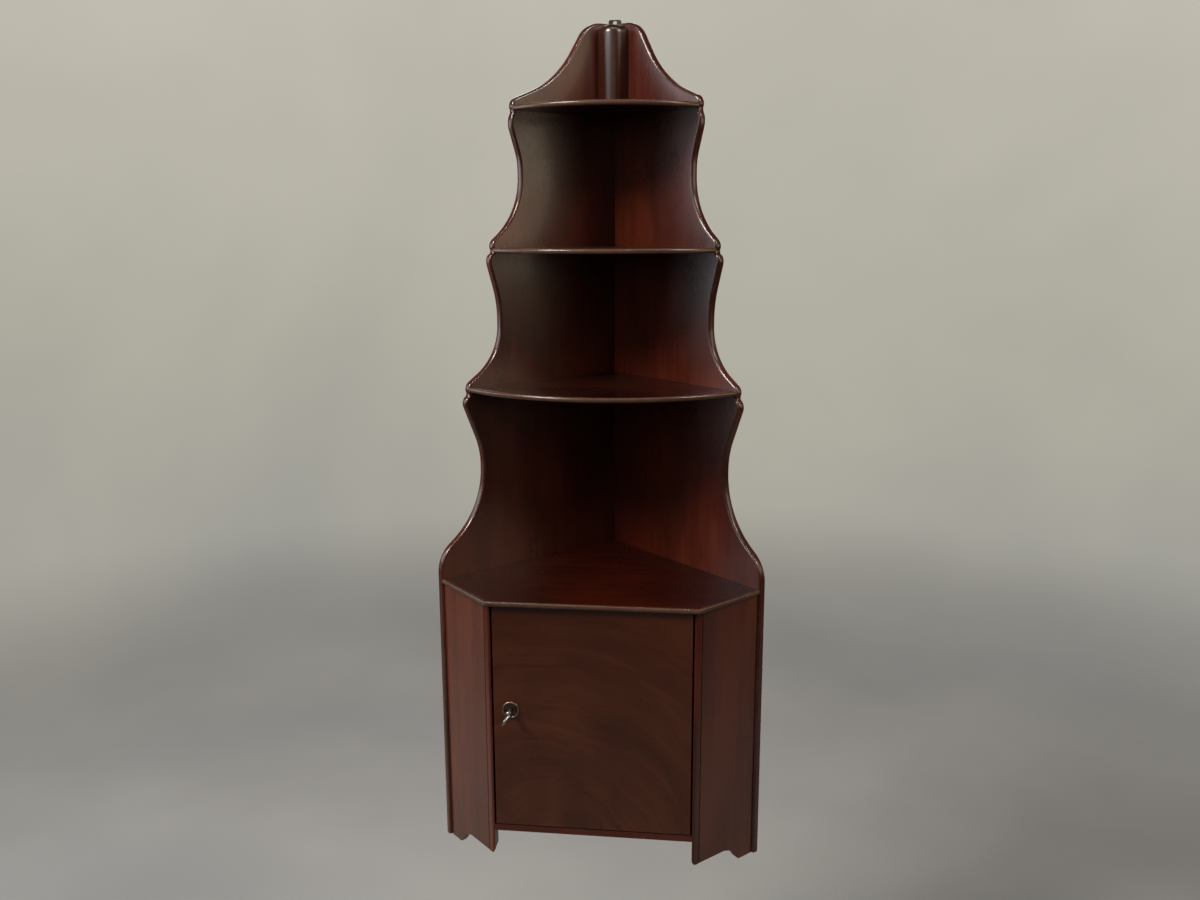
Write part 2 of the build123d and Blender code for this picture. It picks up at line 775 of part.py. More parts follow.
with BuildPart() as hinge_washers:
    for face_z, into in ((door_top_z, 1), (door_low_z, -1)):
        with BuildSketch(Plane.XY.offset(face_z + into * washer_end_gap)):
            with Locations((pivot_x, pivot_y)):
                Circle(washer_radius)
                Circle(pin_radius + pin_running_gap, mode=Mode.SUBTRACT)
        extrude(amount=into * (door_end_gap - 2 * washer_end_gap))
finish("hinge_washers", hinge_washers.part)

carcass_leaf_screws = leaf_screws(leaf_screw, top_under_z, 1) + leaf_screws(leaf_screw, bottom_z, -1)
door_leaf_screws = (leaf_screws(door_leaf_screw, door_top_z, -1)
                    + leaf_screws(door_leaf_screw, door_low_z, 1))

# Lock: rear plate with its selvedge, cap, bolt, feather spring and drill pin
with BuildPart() as lock_plate:
    add(lock_block(edge_x, edge_x + plate_width, -plate_low, plate_high, plate_front_y, door_back_y))
    add(lock_block(edge_x, edge_x + plate_thick, -plate_low, plate_high,
                   door_back_y - selvedge_width, plate_front_y))
    add(bolt_box(bolt_gap / 2, edge_x - cut_overrun, edge_x + 2 * plate_thick), mode=Mode.SUBTRACT)
    add(lock_screws(screw_gap), mode=Mode.SUBTRACT)
finish("lock_plate", lock_plate.part)

with BuildPart() as lock_cap:
    cap_near_x = edge_x + plate_thick + pocket
    cap_far_x = key_x + cap_far
    add(lock_block(cap_near_x, cap_far_x, -cap_low, cap_high, cap_front_y, plate_front_y - pocket))
    add(lock_block(cap_near_x - cut_overrun, cap_far_x - cap_wall, cap_wall - cap_low,
                   cap_high - cap_wall, cap_front_y + cap_wall, plate_front_y),
        mode=Mode.SUBTRACT)
    with BuildSketch(Plane.XZ.offset(-plate_front_y)):
        keyhole_sketch()
    extrude(amount=cap_depth + cut_overrun, mode=Mode.SUBTRACT)
finish("lock_cap", lock_cap.part)

with BuildPart() as lock_bolt:
    add(bolt_box(0, edge_x + bolt_recess, key_x + bolt_tail))
    add(lock_block(key_x - talon_near, key_x + talon_far, 0, talon_height, cap_front_y,
                   plate_front_y), mode=Mode.SUBTRACT)
finish("lock_bolt", lock_bolt.part)

bolt_middle_y = plate_front_y - bolt_gap - bolt_thick / 2
with BuildPart() as bolt_spring:
    foot_x, tip_x = key_x + feather_start, key_x + feather_start - feather_run
    low_z = key_z + bolt_high + pocket
    high_z = key_z + cap_high - cap_wall - bolt_gap
    with BuildSketch(Plane.XZ.offset(-bolt_middle_y - feather_width / 2)):
        with BuildLine():
            over = ThreePointArc((foot_x, low_z + feather_thick), ((foot_x + tip_x) / 2, high_z),
                                 (tip_x, low_z + 2 * feather_thick))
            under = ThreePointArc((foot_x, low_z), ((foot_x + tip_x) / 2, high_z - feather_thick),
                                  (tip_x, low_z + feather_thick))
            Line(over @ 0, under @ 0)
            Line(over @ 1, under @ 1)
        make_face()
    extrude(amount=feather_width)
finish("bolt_spring", bolt_spring.part)

with BuildPart() as drill_pin:
    with BuildSketch(Plane.XZ.offset(-plate_front_y)):
        with Locations((key_x, key_z)):
            Circle(drill_radius)
    extrude(amount=drill_length)
finish("drill_pin", drill_pin.part)

# Escutcheon: a round dished plate with a raised rim and a spigot in the door
rose_axis = Axis((key_x, front_y, key_z), (0, -1, 0))
with BuildPart() as escutcheon:
    with BuildSketch(Plane(origin=(key_x, front_y, key_z), x_dir=(1, 0, 0), z_dir=(0, 0, 1))):
        with BuildLine():
            crest = -rose_rim_height
            inner_rim = rose_radius - rose_rim_width
            Polyline((0, rose_spigot_depth), (rose_spigot_radius, rose_spigot_depth),
                     (rose_spigot_radius, 0), (rose_radius, 0), (rose_radius, crest / 2))
            ThreePointArc((rose_radius, crest / 2), (rose_radius - rose_rim_width / 2, crest),
                          (inner_rim, -rose_plate))
            Polyline((inner_rim, -rose_plate), (0, -rose_plate), (0, rose_spigot_depth))
        make_face()
    revolve(axis=rose_axis)
    with BuildSketch(Plane.XZ.offset(rose_rim_height + cut_overrun - front_y)):
        keyhole_sketch()
    extrude(amount=-rose_rim_height - rose_spigot_depth - 2 * cut_overrun, mode=Mode.SUBTRACT)
finish("escutcheon", escutcheon.part)

# Key: pipe shank, collar, oval bow and bit, turned from upright as it was left in the lock
turn = radians(key_angle)
key_plane = Plane(origin=(key_x, front_y, key_z), x_dir=(0, -1, 0),
                  z_dir=(-cos(turn), 0, sin(turn)))
shank_tip = -(door_thick - plate_thick - key_tip_gap)
with BuildPart() as key:
    with BuildSketch(key_plane):
        with BuildLine():
            bow_start = bow_place - bow_half_length + bow_ring / 2
            Polyline(
                (shank_tip, 0), (shank_tip, shank_radius), (collar_place, shank_radius),
                (collar_place + (collar_radius - shank_radius) / 2, collar_radius),
                (collar_place + collar_length, collar_radius),
                (collar_place + collar_length + (collar_radius - neck_radius) / 2, neck_radius),
                (bow_start, neck_radius), (bow_start, 0), close=True,
            )
        make_face()
    revolve(axis=rose_axis)
    with BuildSketch(key_plane):
        with Locations((bow_place, 0)):
            Ellipse(bow_half_length, bow_half_height)
            Ellipse(bow_half_length - bow_ring, bow_half_height - bow_ring, mode=Mode.SUBTRACT)
    extrude(amount=bow_thick / 2, both=True)
    bit_far = shank_tip + bit_width + key_tip_gap
    with BuildSketch(key_plane):
        with Locations((bit_far - bit_width, 0)):
            Rectangle(bit_width, bit_height, align=(Align.MIN, Align.MAX))
        with Locations((bit_far - bit_width / 2, -bit_height)):
            Rectangle(ward_width, 2 * ward_height, mode=Mode.SUBTRACT)
    extrude(amount=bit_thick / 2, both=True)
    with BuildSketch(Plane.XZ.offset(-front_y + shank_tip - cut_overrun)):
        with Locations((key_x, key_z)):
            Circle(drill_radius + key_bore_gap)
    extrude(amount=drill_length + cut_overrun, mode=Mode.SUBTRACT)
finish("key", key.part)

# Hanging plate on the planed rear corner
with BuildPart() as hanging_plate:
    with BuildSketch(Plane.XZ.offset(-hanger_thick / 2)) as plate_face:
        with Locations((0, hanger_above)):
            Rectangle(2 * plate_half, hanger_above + hanger_below, align=(Align.CENTER, Align.MAX))
        fillet(plate_face.vertices(), radius=hanger_corner)
        Circle(hanger_hole, mode=Mode.SUBTRACT)
    extrude(amount=hanger_thick)
    add(hanger_screws(screw_gap), mode=Mode.SUBTRACT)
finish("hanging_plate", hanging_plate.part)

# Fasteners, one node for each group of the same screws
screw_groups = {
    "left_board_screws": board_screws(LEFT),
    "right_board_screws": board_screws(RIGHT),
    "corner_screws": corner_screws(),
    "hanging_plate_screws": hanger_screws(),
    "carcass_leaf_screws": carcass_leaf_screws,
    "door_leaf_screws": door_leaf_screws,
    "lock_screws": lock_screws(),
}
for name, screws in screw_groups.items():
    finish(name, Compound(children=screws))
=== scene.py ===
from math import acos, asin, atan2, ceil, cos, degrees, pi, radians, sin, tan

import bmesh
import bpy
from mathutils import Matrix, Vector
from mathutils.geometry import tessellate_polygon


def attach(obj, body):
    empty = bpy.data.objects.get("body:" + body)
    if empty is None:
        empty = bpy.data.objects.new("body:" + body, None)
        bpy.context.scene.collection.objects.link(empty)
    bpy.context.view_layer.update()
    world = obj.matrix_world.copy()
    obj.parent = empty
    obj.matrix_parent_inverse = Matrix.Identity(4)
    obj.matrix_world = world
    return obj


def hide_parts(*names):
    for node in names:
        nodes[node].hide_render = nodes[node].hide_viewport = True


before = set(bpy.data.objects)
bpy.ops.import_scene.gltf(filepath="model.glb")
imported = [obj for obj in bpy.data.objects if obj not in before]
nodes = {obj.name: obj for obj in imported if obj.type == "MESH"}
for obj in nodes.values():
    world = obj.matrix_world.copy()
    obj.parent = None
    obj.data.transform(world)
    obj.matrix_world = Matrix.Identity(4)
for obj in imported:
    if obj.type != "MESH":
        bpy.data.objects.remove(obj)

scene = bpy.context.scene
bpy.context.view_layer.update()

MM = 0.001
DIAGONAL = 0.5 ** 0.5
LEFT, RIGHT = -1, 1
SIDES = (LEFT, "left"), (RIGHT, "right")

# Sizes in millimetres, as in the part's source
CORNER_Y = -4.5
BOARD_HEIGHT, BOARD_REACH, BOARD_THICK, BOARD_ARRIS = 1010, 271.5, 10, 2.8
BOARD_TOP_Z, FOOT_Z = -3, -1013
CUPBOARD_Z = -670.004
SHELF_THICK, BULLNOSE_SHARE, HOUSING_STOP = 6.5, 0.46, 14
# Reach and top face of the lower, middle and upper shelf
SHELF_PLACES = ((225.997, -438.007), (187.091, -273.478), (154.891, -107.939))
NOSE_STEPS, NOSE_DROPS, NOSE_ROUNDS = (4.4, 5, 2.2), (20, 15.3, 20), (14, 23, 28)
RISE_LEANS, SWEEP_LEANS, NOTCH_DROPS = (22, 16.5, 18), (52, 55, 50), (8.6, 3.8, 6.5)
WAIST_DEPTHS, WAIST_SHARES = (18.8, 8.9, 10.5), ((0.69, 0.25), (0.57, 0.31), (0.68, 0.19))
NOTCH_DEPTH, LIP_RISE, LIP_ROUND, NOSE_CAP_SHARE, LIP_SHARE = 1.2, 5, 11.5, 0.7, 0.5
SHOULDER_RISE, SHOULDER_ROUND = 7, 42
CROWN_REACH, CROWN_ROUND, CROWN_LEAN, CROWN_SWEEP, CROWN_EASE_SHARE = 20, 37, 33, 68, 0.656
BLOCK_LEG, BLOCK_ROUND, BLOCK_DOME, BLOCK_TOP_Z = 27, 16, 10, -6
TOP_THICK, TOP_TIP_GAP, TOP_FRONT_OVERHANG, TOP_CANT_OVERHANG, TIP_SUNK = 7, 0.5, 6, 2.8, 2.8
CANT_REACH, CANT_THICK, POST_RUN, POST_LAP = 268.5, 6.5, 88.777, 10
APRON_RISE, FOOT_WIDTH, OGEE_RUN = 20, 20, 30
OGEE_SHARES = ((0.23, 0.275), (0.37, 0.55), (0.52, 0.78), (0.78, 0.95))
POST_ROUND, POST_ARRIS, POST_TOE, QUIRK = 3.4, 0.6, 7, 0.9
FRONT_DEPTH, CORNER_HALF, OPENING_HALF, DOOR_HALF = 259.0007, 120.716, 118.416, 116.416
FRONT_Y = CORNER_Y - FRONT_DEPTH
TOP_UNDER_Z, APRON_Z = CUPBOARD_Z - TOP_THICK, FOOT_Z + APRON_RISE
BOTTOM_Z, BOTTOM_THICK = -954, 8
DOOR_TOP_Z, DOOR_LOW_Z, DOOR_THICK, PIVOT_X = TOP_UNDER_Z - 1, BOTTOM_Z + 1, 15, 111.916
KEY_X, KEY_Z, KEY_TURN, BOW_PLACE = -95.816, -804.502, radians(35), 27
KEY_PLACE = (KEY_X, FRONT_Y, KEY_Z)
BOW_DEEP, BOW_HIGH, BOW_WIRE, BOW_STEPS, WIRE_STEPS = 5.9, 7.9, (1.1, 1.3), 96, 20
ROSE_RADIUS, ROSE_RIM, ROSE_PLATE = 10.25, 1.9, 0.8
KEYHOLE_RADIUS, KEYHOLE_SLOT, KEYHOLE_DROP = 3.2, 3, 8.6
PLATE_HALF, PLATE_ABOVE, HANGER_SCREW_Z = 8, 3.6, (-14, -32)
PLATE_FOOT_Z, PLATE_THICK, PLATE_ROUND, HANGING_RADIUS = -42, 2, 2.5, 2.5
# Shank radius, head radius and length of the screws; near, far and floor radius and depth of
# the boards' sinkings for them
BOARD_SCREW, CORNER_SCREW, HANGER_SCREW = (1.4, 2.9, 24), (1.4, 2.9, 30), (1.7, 3.4, 18)
LEAF_SCREW, DOOR_LEAF_SCREW, LOCK_SCREW = (0.9, 1.9, 5.6), (0.9, 1.9, 12), (0.9, 1.9, 8)
CORNER_SCREW_SHARES, SINKING = (0.08, 0.36, 0.62, 0.88), (0, 3.0, 1.5, 1.6)
LEAF_HALF, LEAF_LENGTH, LEAF_DEEP, PIN_RADIUS, PIN_DEEP = 3.55, 32.05, 1.55, 1.55, 3.1
PIVOT_Y = FRONT_Y + 4.5
MORTISE = ((-121.816, -253.901, -800.402), (-117.4, -249.901, -789.602))
# Reach, top face and thickness of each level board's tongue in the back boards
BOARD_ENDS = [(reach, top_z, SHELF_THICK) for reach, top_z in SHELF_PLACES]
BOARD_ENDS += [(BOARD_REACH - TOP_TIP_GAP, CUPBOARD_Z, TOP_THICK),
               (CANT_REACH - CANT_THICK, BOTTOM_Z, BOTTOM_THICK)]
# Finer points of the meshes: steps in an eased arris and a hole, and its flat border
EASE_STEPS, HOLE_STEPS, SUPPORT = 5, 32, 0.3


# Shader tools

FLOAT, VECTOR, COLOUR = "NodeSocketFloat", "NodeSocketVector", "NodeSocketColor"


def fill(tree, node, inputs):
    """Links each input of a node to a socket, or to a node's first one, or sets it to a value."""
    for key, value in inputs.items():
        if isinstance(value, bpy.types.Node):
            value = value.outputs[0]
        if isinstance(value, bpy.types.NodeSocket):
            tree.links.new(value, node.inputs[key])
        else:
            node.inputs[key].default_value = value
    return node


def node_tree_tools(tree):
    """A short way to add a node to a tree with its settings and inputs."""
    def add(kind, inputs=None, **settings):
        node = tree.nodes.new(kind)
        for key, value in settings.items():
            setattr(node, key, value)
        return fill(tree, node, inputs or {})
    return add


def new_tree(name, kind, inputs, outputs):
    """An empty tree with named sockets; returns it with its adder, inputs and output node."""
    tree = bpy.data.node_groups.new(name, kind)
    for label, socket_kind, default in inputs:
        socket = tree.interface.new_socket(label, in_out="INPUT", socket_type=socket_kind)
        if default is not None:
            socket.default_value = default
    for label, socket_kind in outputs:
        tree.interface.new_socket(label, in_out="OUTPUT", socket_type=socket_kind)
    entry, leave = tree.nodes.new("NodeGroupInput"), tree.nodes.new("NodeGroupOutput")
    return tree, node_tree_tools(tree), entry.outputs, leave


def new_group(name, inputs, outputs):
    """An empty shader group."""
    return new_tree(name, "ShaderNodeTree", inputs, outputs)


def ramp(add, factor, stops):
    """A colour ramp through (place, colour) stops."""
    node = add("ShaderNodeValToRGB", {"Fac": factor})
    band = node.color_ramp
    while len(band.elements) < len(stops):
        band.elements.new(0.5)
    for element, (place, colour) in zip(band.elements, stops):
        element.position = place
        element.color = (*colour, 1)
    return node.outputs["Color"]


def maths(add, operation, a, b=0.0, c=0.0, clamp=False):
    """One sum; a, b and c are sockets or numbers."""
    node = add("ShaderNodeMath", {0: a, 1: b, 2: c}, operation=operation, use_clamp=clamp)
    return node.outputs[0]


def total(add, first, *others):
    """The sum of sockets or numbers."""
    for other in others:
        first = maths(add, "ADD", first, other)
    return first


def product(add, a, b):
    """Two sockets or numbers multiplied."""
    return maths(add, "MULTIPLY", a, b)


def centred(add, noise, gain):
    """How far a noise is from its middle, times a gain."""
    return product(add, maths(add, "SUBTRACT", noise, 0.5), gain)


def span(add, value, low, high, start=0.0, end=1.0, kind="LINEAR"):
    """A value mapped from low and high onto start and end, and held there."""
    return add("ShaderNodeMapRange", {"Value": value, "From Min": low, "From Max": high,
                                      "To Min": start, "To Max": end},
               interpolation_type=kind).outputs[0]


def blend_colours(add, factor, a, b):
    """Two colours mixed by a factor."""
    return add("ShaderNodeMix", {"Factor": factor, 6: a, 7: b}, data_type="RGBA").outputs[2]


def vector_maths(add, operation, a, b):
    """One sum of two vectors."""
    return add("ShaderNodeVectorMath", {0: a, 1: b}, operation=operation).outputs[0]


def plan_distance(add, place):
    """How far a place is from the origin in plan."""
    flat = vector_maths(add, "MULTIPLY", place, (1, 1, 0))
    return add("ShaderNodeVectorMath", {0: flat}, operation="LENGTH").outputs["Value"]


def noise(add, vector, scale, detail, rough, distortion=0.0):
    """Noise of one scale."""
    return add("ShaderNodeTexNoise", {"Vector": vector, "Scale": scale, "Detail": detail,
                                      "Roughness": rough, "Distortion": distortion}).outputs["Fac"]


def stretched_noise(add, vector, scale, detail=3.0, rough=0.5, distortion=0.0):
    """Noise read at a vector whose parts are multiplied by scale first."""
    return noise(add, vector_maths(add, "MULTIPLY", vector, scale), 1.0, detail, rough, distortion)


def bumped(add, height, strength, distance):
    """The normal of a height."""
    return add("ShaderNodeBump", {"Height": height, "Strength": strength,
                                  "Distance": distance}).outputs[0]


# Shared effects

def make_timber_group():
    """Mahogany read along Z of its vector: stripe, cloud and pores."""
    group, add, given, leave = new_group(
        "mahogany grain",
        [("Vector", VECTOR, None), ("Timber", FLOAT, 0.0), ("Stripe", FLOAT, 0.5),
         ("Dark", COLOUR, (0.02, 0.005, 0.003, 1)), ("Middle", COLOUR, (0.05, 0.012, 0.006, 1)),
         ("Light", COLOUR, (0.1, 0.03, 0.015, 1))],
        [("Colour", COLOUR), ("Roughness", FLOAT), ("Height", FLOAT)])
    shift = add("ShaderNodeVectorMath", {0: (3.1, 7.7, 5.3), "Scale": given["Timber"]},
                operation="SCALE")
    place = vector_maths(add, "ADD", given["Vector"], shift)
    cloud = stretched_noise(add, place, (9, 9, 3.5), 3, 0.55, 0.4)
    stripe = stretched_noise(add, place, (85, 85, 2.2), 4, 0.6, 0.25)
    thread = stretched_noise(add, place, (520, 520, 16), 3, 0.6)
    pore = stretched_noise(add, place, (2600, 2600, 130), 2, 0.5)
    pores = span(add, pore, 0.62, 0.7, kind="SMOOTHSTEP")
    tone = maths(add, "MULTIPLY_ADD", maths(add, "SUBTRACT", stripe, 0.5), given["Stripe"], 0.5)
    tone = total(add, tone, centred(add, cloud, 0.9), centred(add, thread, 0.28))
    colour = blend_colours(add, span(add, tone, 0.2, 0.52), given["Dark"], given["Middle"])
    colour = blend_colours(add, span(add, tone, 0.48, 0.85), colour, given["Light"])
    colour = blend_colours(add, product(add, pores, 0.55), colour, given["Dark"])
    rough = maths(add, "MULTIPLY_ADD", cloud, 0.14, 0.12)
    rough = total(add, rough, product(add, pores, 0.1))
    height = maths(add, "SUBTRACT", product(add, thread, 0.25), product(add, pores, 0.5))
    fill(group, leave, {"Colour": colour, "Roughness": rough, "Height": height})
    return group


def make_wear_and_sheen_group():
    """Lighter patches along an eased edge, from the arris attribute and a vector: partly wear, partly
    a painted highlight.
    """
    group, add, given, leave = new_group(
        "rubbed_and_lit edge", [("Vector", VECTOR, None), ("Arris", FLOAT, 0.0), ("Scale", FLOAT, 60.0),
                        ("Amount", FLOAT, 0.5)], [("Mask", FLOAT)])
    patch = span(add, noise(add, given["Vector"], given["Scale"], 4.0, 0.6), 0.42, 0.68)
    mask = maths(add, "MULTIPLY", product(add, patch, given["Arris"]), given["Amount"], clamp=True)
    fill(group, leave, {"Mask": mask})
    return group


def make_handling_group():
    """Faint marks in a polish: cloudy bloom and long soft strokes."""
    group, add, given, leave = new_group(
        "polish marks", [("Vector", VECTOR, None), ("Scale", FLOAT, 14.0)],
        [("Bloom", FLOAT), ("Stroke", FLOAT)])
    turned = add("ShaderNodeMapping", {"Vector": given["Vector"], "Rotation": (0.6, 0.5, 0.3),
                                       "Scale": (40, 40, 420)})
    fill(group, leave, {"Bloom": noise(add, given["Vector"], given["Scale"], 3.0, 0.55),
                        "Stroke": noise(add, turned, 1.0, 2.0, 0.5)})
    return group


timber_group = make_timber_group()
wear_and_sheen_group = make_wear_and_sheen_group()
handling_group = make_handling_group()


def new_material(name):
    """A material with its tree, node adder, Principled BSDF and output."""
    material = bpy.data.materials.new(name)
    material.use_nodes = True
    tree = material.node_tree
    tree.nodes.clear()
    add = node_tree_tools(tree)
    shader = add("ShaderNodeBsdfPrincipled")
    leave = add("ShaderNodeOutputMaterial", {0: shader})
    return material, tree, add, shader, leave


def mahogany(name, turn, colours, stripe=0.5, edge=(0.014, 0.0052, 0.0032), gleam=0.5, figure=None):
    """Polished mahogany; turn brings the grain onto Z, and edge is the tone of its arrises."""
    material, tree, add, shader, _ = new_material(name)
    place = add("ShaderNodeTexCoord").outputs["Object"]
    along = add("ShaderNodeMapping", {"Vector": place, "Rotation": turn}).outputs[0]
    if figure:
        along = figure(add, along)
    timber, arris = (add("ShaderNodeAttribute", attribute_name=label).outputs["Fac"]
                     for label in ("timber", "arris"))
    dark, middle, light = ((*colour, 1) for colour in colours)
    grain = add("ShaderNodeGroup", {"Vector": along, "Timber": timber, "Stripe": stripe, "Dark": dark,
                                    "Middle": middle, "Light": light}, node_tree=timber_group).outputs
    wear_and_sheen = add("ShaderNodeGroup", {"Vector": place, "Arris": arris},
               node_tree=wear_and_sheen_group).outputs["Mask"]
    marks = add("ShaderNodeGroup", {"Vector": place}, node_tree=handling_group).outputs
    # Arrises take the edge tone and patches along them a lighter one: partly wear, partly a painted
    # highlight.
    colour = blend_colours(add, product(add, arris, 0.75), grain["Colour"], (*edge, 1))
    colour = blend_colours(add, product(add, wear_and_sheen, 0.6), colour, (0.1, 0.06, 0.04, 1))
    rough = total(add, grain["Roughness"], product(add, marks["Bloom"], 0.2))
    buffed = maths(add, "SUBTRACT", 1.0, product(add, wear_and_sheen, 1.3))
    height = total(add, grain["Height"], product(add, marks["Stroke"], 0.35))
    fill(tree, shader, {
        "Base Color": colour, "Roughness": product(add, rough, buffed),
        "Normal": bumped(add, height, 0.12, 0.0004), "IOR": 1.5, "Specular IOR Level": gleam,
        "Coat Weight": 0.15, "Coat Roughness": 0.12, "Coat IOR": 1.5})
    return material


def metal(name, colours, rough, tarnish, rubbed_and_lit=None):
    """Old metal: tones of its colour, tarnish in patches and fine scratches.

    rubbed is (from y, to y, colour) of a lighter rim: partly cleaned by hands, partly a painted
    highlight on its raised edge.
    """
    material, tree, add, shader, _ = new_material(name)
    place = add("ShaderNodeTexCoord").outputs["Object"]
    patch = stretched_noise(add, place, (160, 160, 160), 5, 0.6)
    fine = stretched_noise(add, place, (1400, 1400, 300), 3, 0.6)
    colour = ramp(add, patch, list(zip((0.3, 0.52, 0.72), colours)))
    if rubbed_and_lit:
        depth = add("ShaderNodeSeparateXYZ", {0: place}).outputs["Y"]
        rim_share = span(add, depth, rubbed_and_lit[0], rubbed_and_lit[1], end=0.9)
        colour = blend_colours(add, rim_share, colour, (*rubbed_and_lit[2], 1))
    gloss = maths(add, "MULTIPLY_ADD", patch, tarnish, rough - tarnish / 2)
    fill(tree, shader, {
        "Base Color": colour, "Roughness": total(add, gloss, centred(add, fine, 0.2)),
        "Metallic": span(add, patch, 0.2, 0.45, 0.75, 1.0),
        "Normal": bumped(add, total(add, patch, product(add, fine, 0.4)), 0.15, 0.0003)})
    return material


def veneer_figure(add, vector):
    """Bends the grain of a veneer into arcs round a place below the door's lock side."""
    sway = stretched_noise(add, vector, (9, 9, 7), 3, 0.55)
    parts = add("ShaderNodeSeparateXYZ", {0: vector}).outputs
    across, up = total(add, parts["X"], 0.05), total(add, parts["Z"], 1.0)
    far = maths(add, "SQRT", total(add, product(add, across, across), product(add, up, up)))
    far = total(add, far, centred(add, sway, 0.05))
    round_way = product(add, maths(add, "ARCTAN2", up, across), 0.35)
    return add("ShaderNodeCombineXYZ", {0: product(add, far, 1.9), 1: parts["Y"],
                                        2: round_way}).outputs[0]


# The shelves' and cupboard top's tones are a darker copy of the boards' mahogany: painted shade on the
# level faces.
SHADED_LEVEL_TONES = ((0.005, 0.0006, 0.0002), (0.014, 0.0015, 0.0003), (0.03, 0.004, 0.001))
BOARD_TONES = ((0.014, 0.0022, 0.0006), (0.046, 0.0064, 0.0018), (0.094, 0.018, 0.006))
CANT_TONES = ((0.02, 0.0042, 0.0016), (0.058, 0.0105, 0.0037), (0.11, 0.026, 0.01))
# A lighter tone for the bull-noses: partly wear, partly a painted light band below their highlight.
WORN_AND_LIT_NOSE_TONE = (0.062, 0.029, 0.017)
VENEER_TONES = ((0.022, 0.0046, 0.0013), (0.04, 0.0088, 0.0028), (0.068, 0.017, 0.0064))
BLOCK_TONES = ((0.009, 0.002, 0.0008), (0.03, 0.0065, 0.0025), (0.065, 0.016, 0.0075))
UPRIGHT, LEVEL = (0, 0, 0), (0, radians(90), 0)
upright_wood = mahogany("polished_mahogany_upright", UPRIGHT, BOARD_TONES, 0.36)
cant_wood = mahogany("polished_mahogany_cant", UPRIGHT, CANT_TONES, 0.3)
shaded_level_wood = mahogany("polished_mahogany_level_shaded", LEVEL, SHADED_LEVEL_TONES, 0.35, WORN_AND_LIT_NOSE_TONE, 0.3)
block_wood = mahogany("polished_mahogany_block", UPRIGHT, BLOCK_TONES, 0.3)
edge_wood = mahogany("polished_mahogany_edge", LEVEL, BOARD_TONES, 0.3)
veneer = mahogany("figured_veneer", UPRIGHT, VENEER_TONES, 0.45, figure=veneer_figure)

BRASS_TONES = ((0.05, 0.035, 0.02), (0.2, 0.14, 0.07), (0.4, 0.29, 0.14))
TONED_BRASS_TONES = ((0.03, 0.014, 0.008), (0.1, 0.056, 0.034), (0.24, 0.16, 0.105))
STEEL_TONES = ((0.07, 0.062, 0.055), (0.22, 0.205, 0.19), (0.42, 0.4, 0.38))
IRON_TONES = ((0.02, 0.017, 0.013), (0.06, 0.052, 0.042), (0.12, 0.105, 0.085))
# The escutcheon's rim is lighter: partly cleaned by hands, partly a painted highlight on its raised
# edge.
RUBBED_AND_LIT_RIM = ((FRONT_Y - 1.15) / 1000, (FRONT_Y - ROSE_RIM) / 1000, (0.3, 0.24, 0.195))
brass = metal("aged_brass", BRASS_TONES, 0.42, 0.3)
toned_brass = metal("toned_brass", TONED_BRASS_TONES, 0.42, 0.3, RUBBED_AND_LIT_RIM)
steel = metal("worn_steel", STEEL_TONES, 0.32, 0.25)
iron = metal("dull_iron", IRON_TONES, 0.46, 0.25)

# CAD nodes kept as they are

KEPT = {
    edge_wood: ["cupboard_bottom", "door_stop"],
    veneer: ["door_panel"],
    brass: ["upper_carcass_leaf", "lower_carcass_leaf", "upper_door_leaf", "lower_door_leaf",
            "lock_plate", "lock_cap", "lock_bolt", "bolt_spring", "hinge_washers"],
    steel: ["hinge_pins", "drill_pin"],
}
for material, names in KEPT.items():
    for name in names:
        nodes[name].data.materials.clear()
        nodes[name].data.materials.append(material)

# Shape tools, in millimetres

def linked(name, data):
    """A new object in the scene."""
    made = bpy.data.objects.new(name, data)
    scene.collection.objects.link(made)
    return made


def dressed(name, mesh, material, timber=0.0):
    """A finished mesh as a piece in its material, with its own place in the timber."""
    mesh.materials.clear()
    mesh.materials.append(material)
    own = mesh.attributes.get("timber") or mesh.attributes.new("timber", "FLOAT", "POINT")
    own.data.foreach_set("value", [timber] * len(mesh.vertices))
    return linked(name, mesh)


def smoothed(mesh, sharp=30):
    """A mesh shaded smooth, but for edges sharper than an angle in degrees."""
    mesh.shade_smooth()
    mesh.set_sharp_from_angle(angle=radians(sharp))
    return mesh


def written(name, bm):
    """A bmesh written to a new mesh."""
    mesh = bpy.data.meshes.new(name)
    bm.to_mesh(mesh)
    bm.free()
    return mesh


def to_mesh(name, bm, sharp=30):
    """A bmesh in millimetres as a smooth, closed mesh in metres."""
    bmesh.ops.remove_doubles(bm, verts=bm.verts, dist=0.001)
    bmesh.ops.dissolve_degenerate(bm, edges=bm.edges, dist=0.0005)
    bmesh.ops.recalc_face_normals(bm, faces=bm.faces)
    bmesh.ops.scale(bm, vec=(MM, MM, MM), verts=bm.verts)
    return smoothed(written(name, bm), sharp)


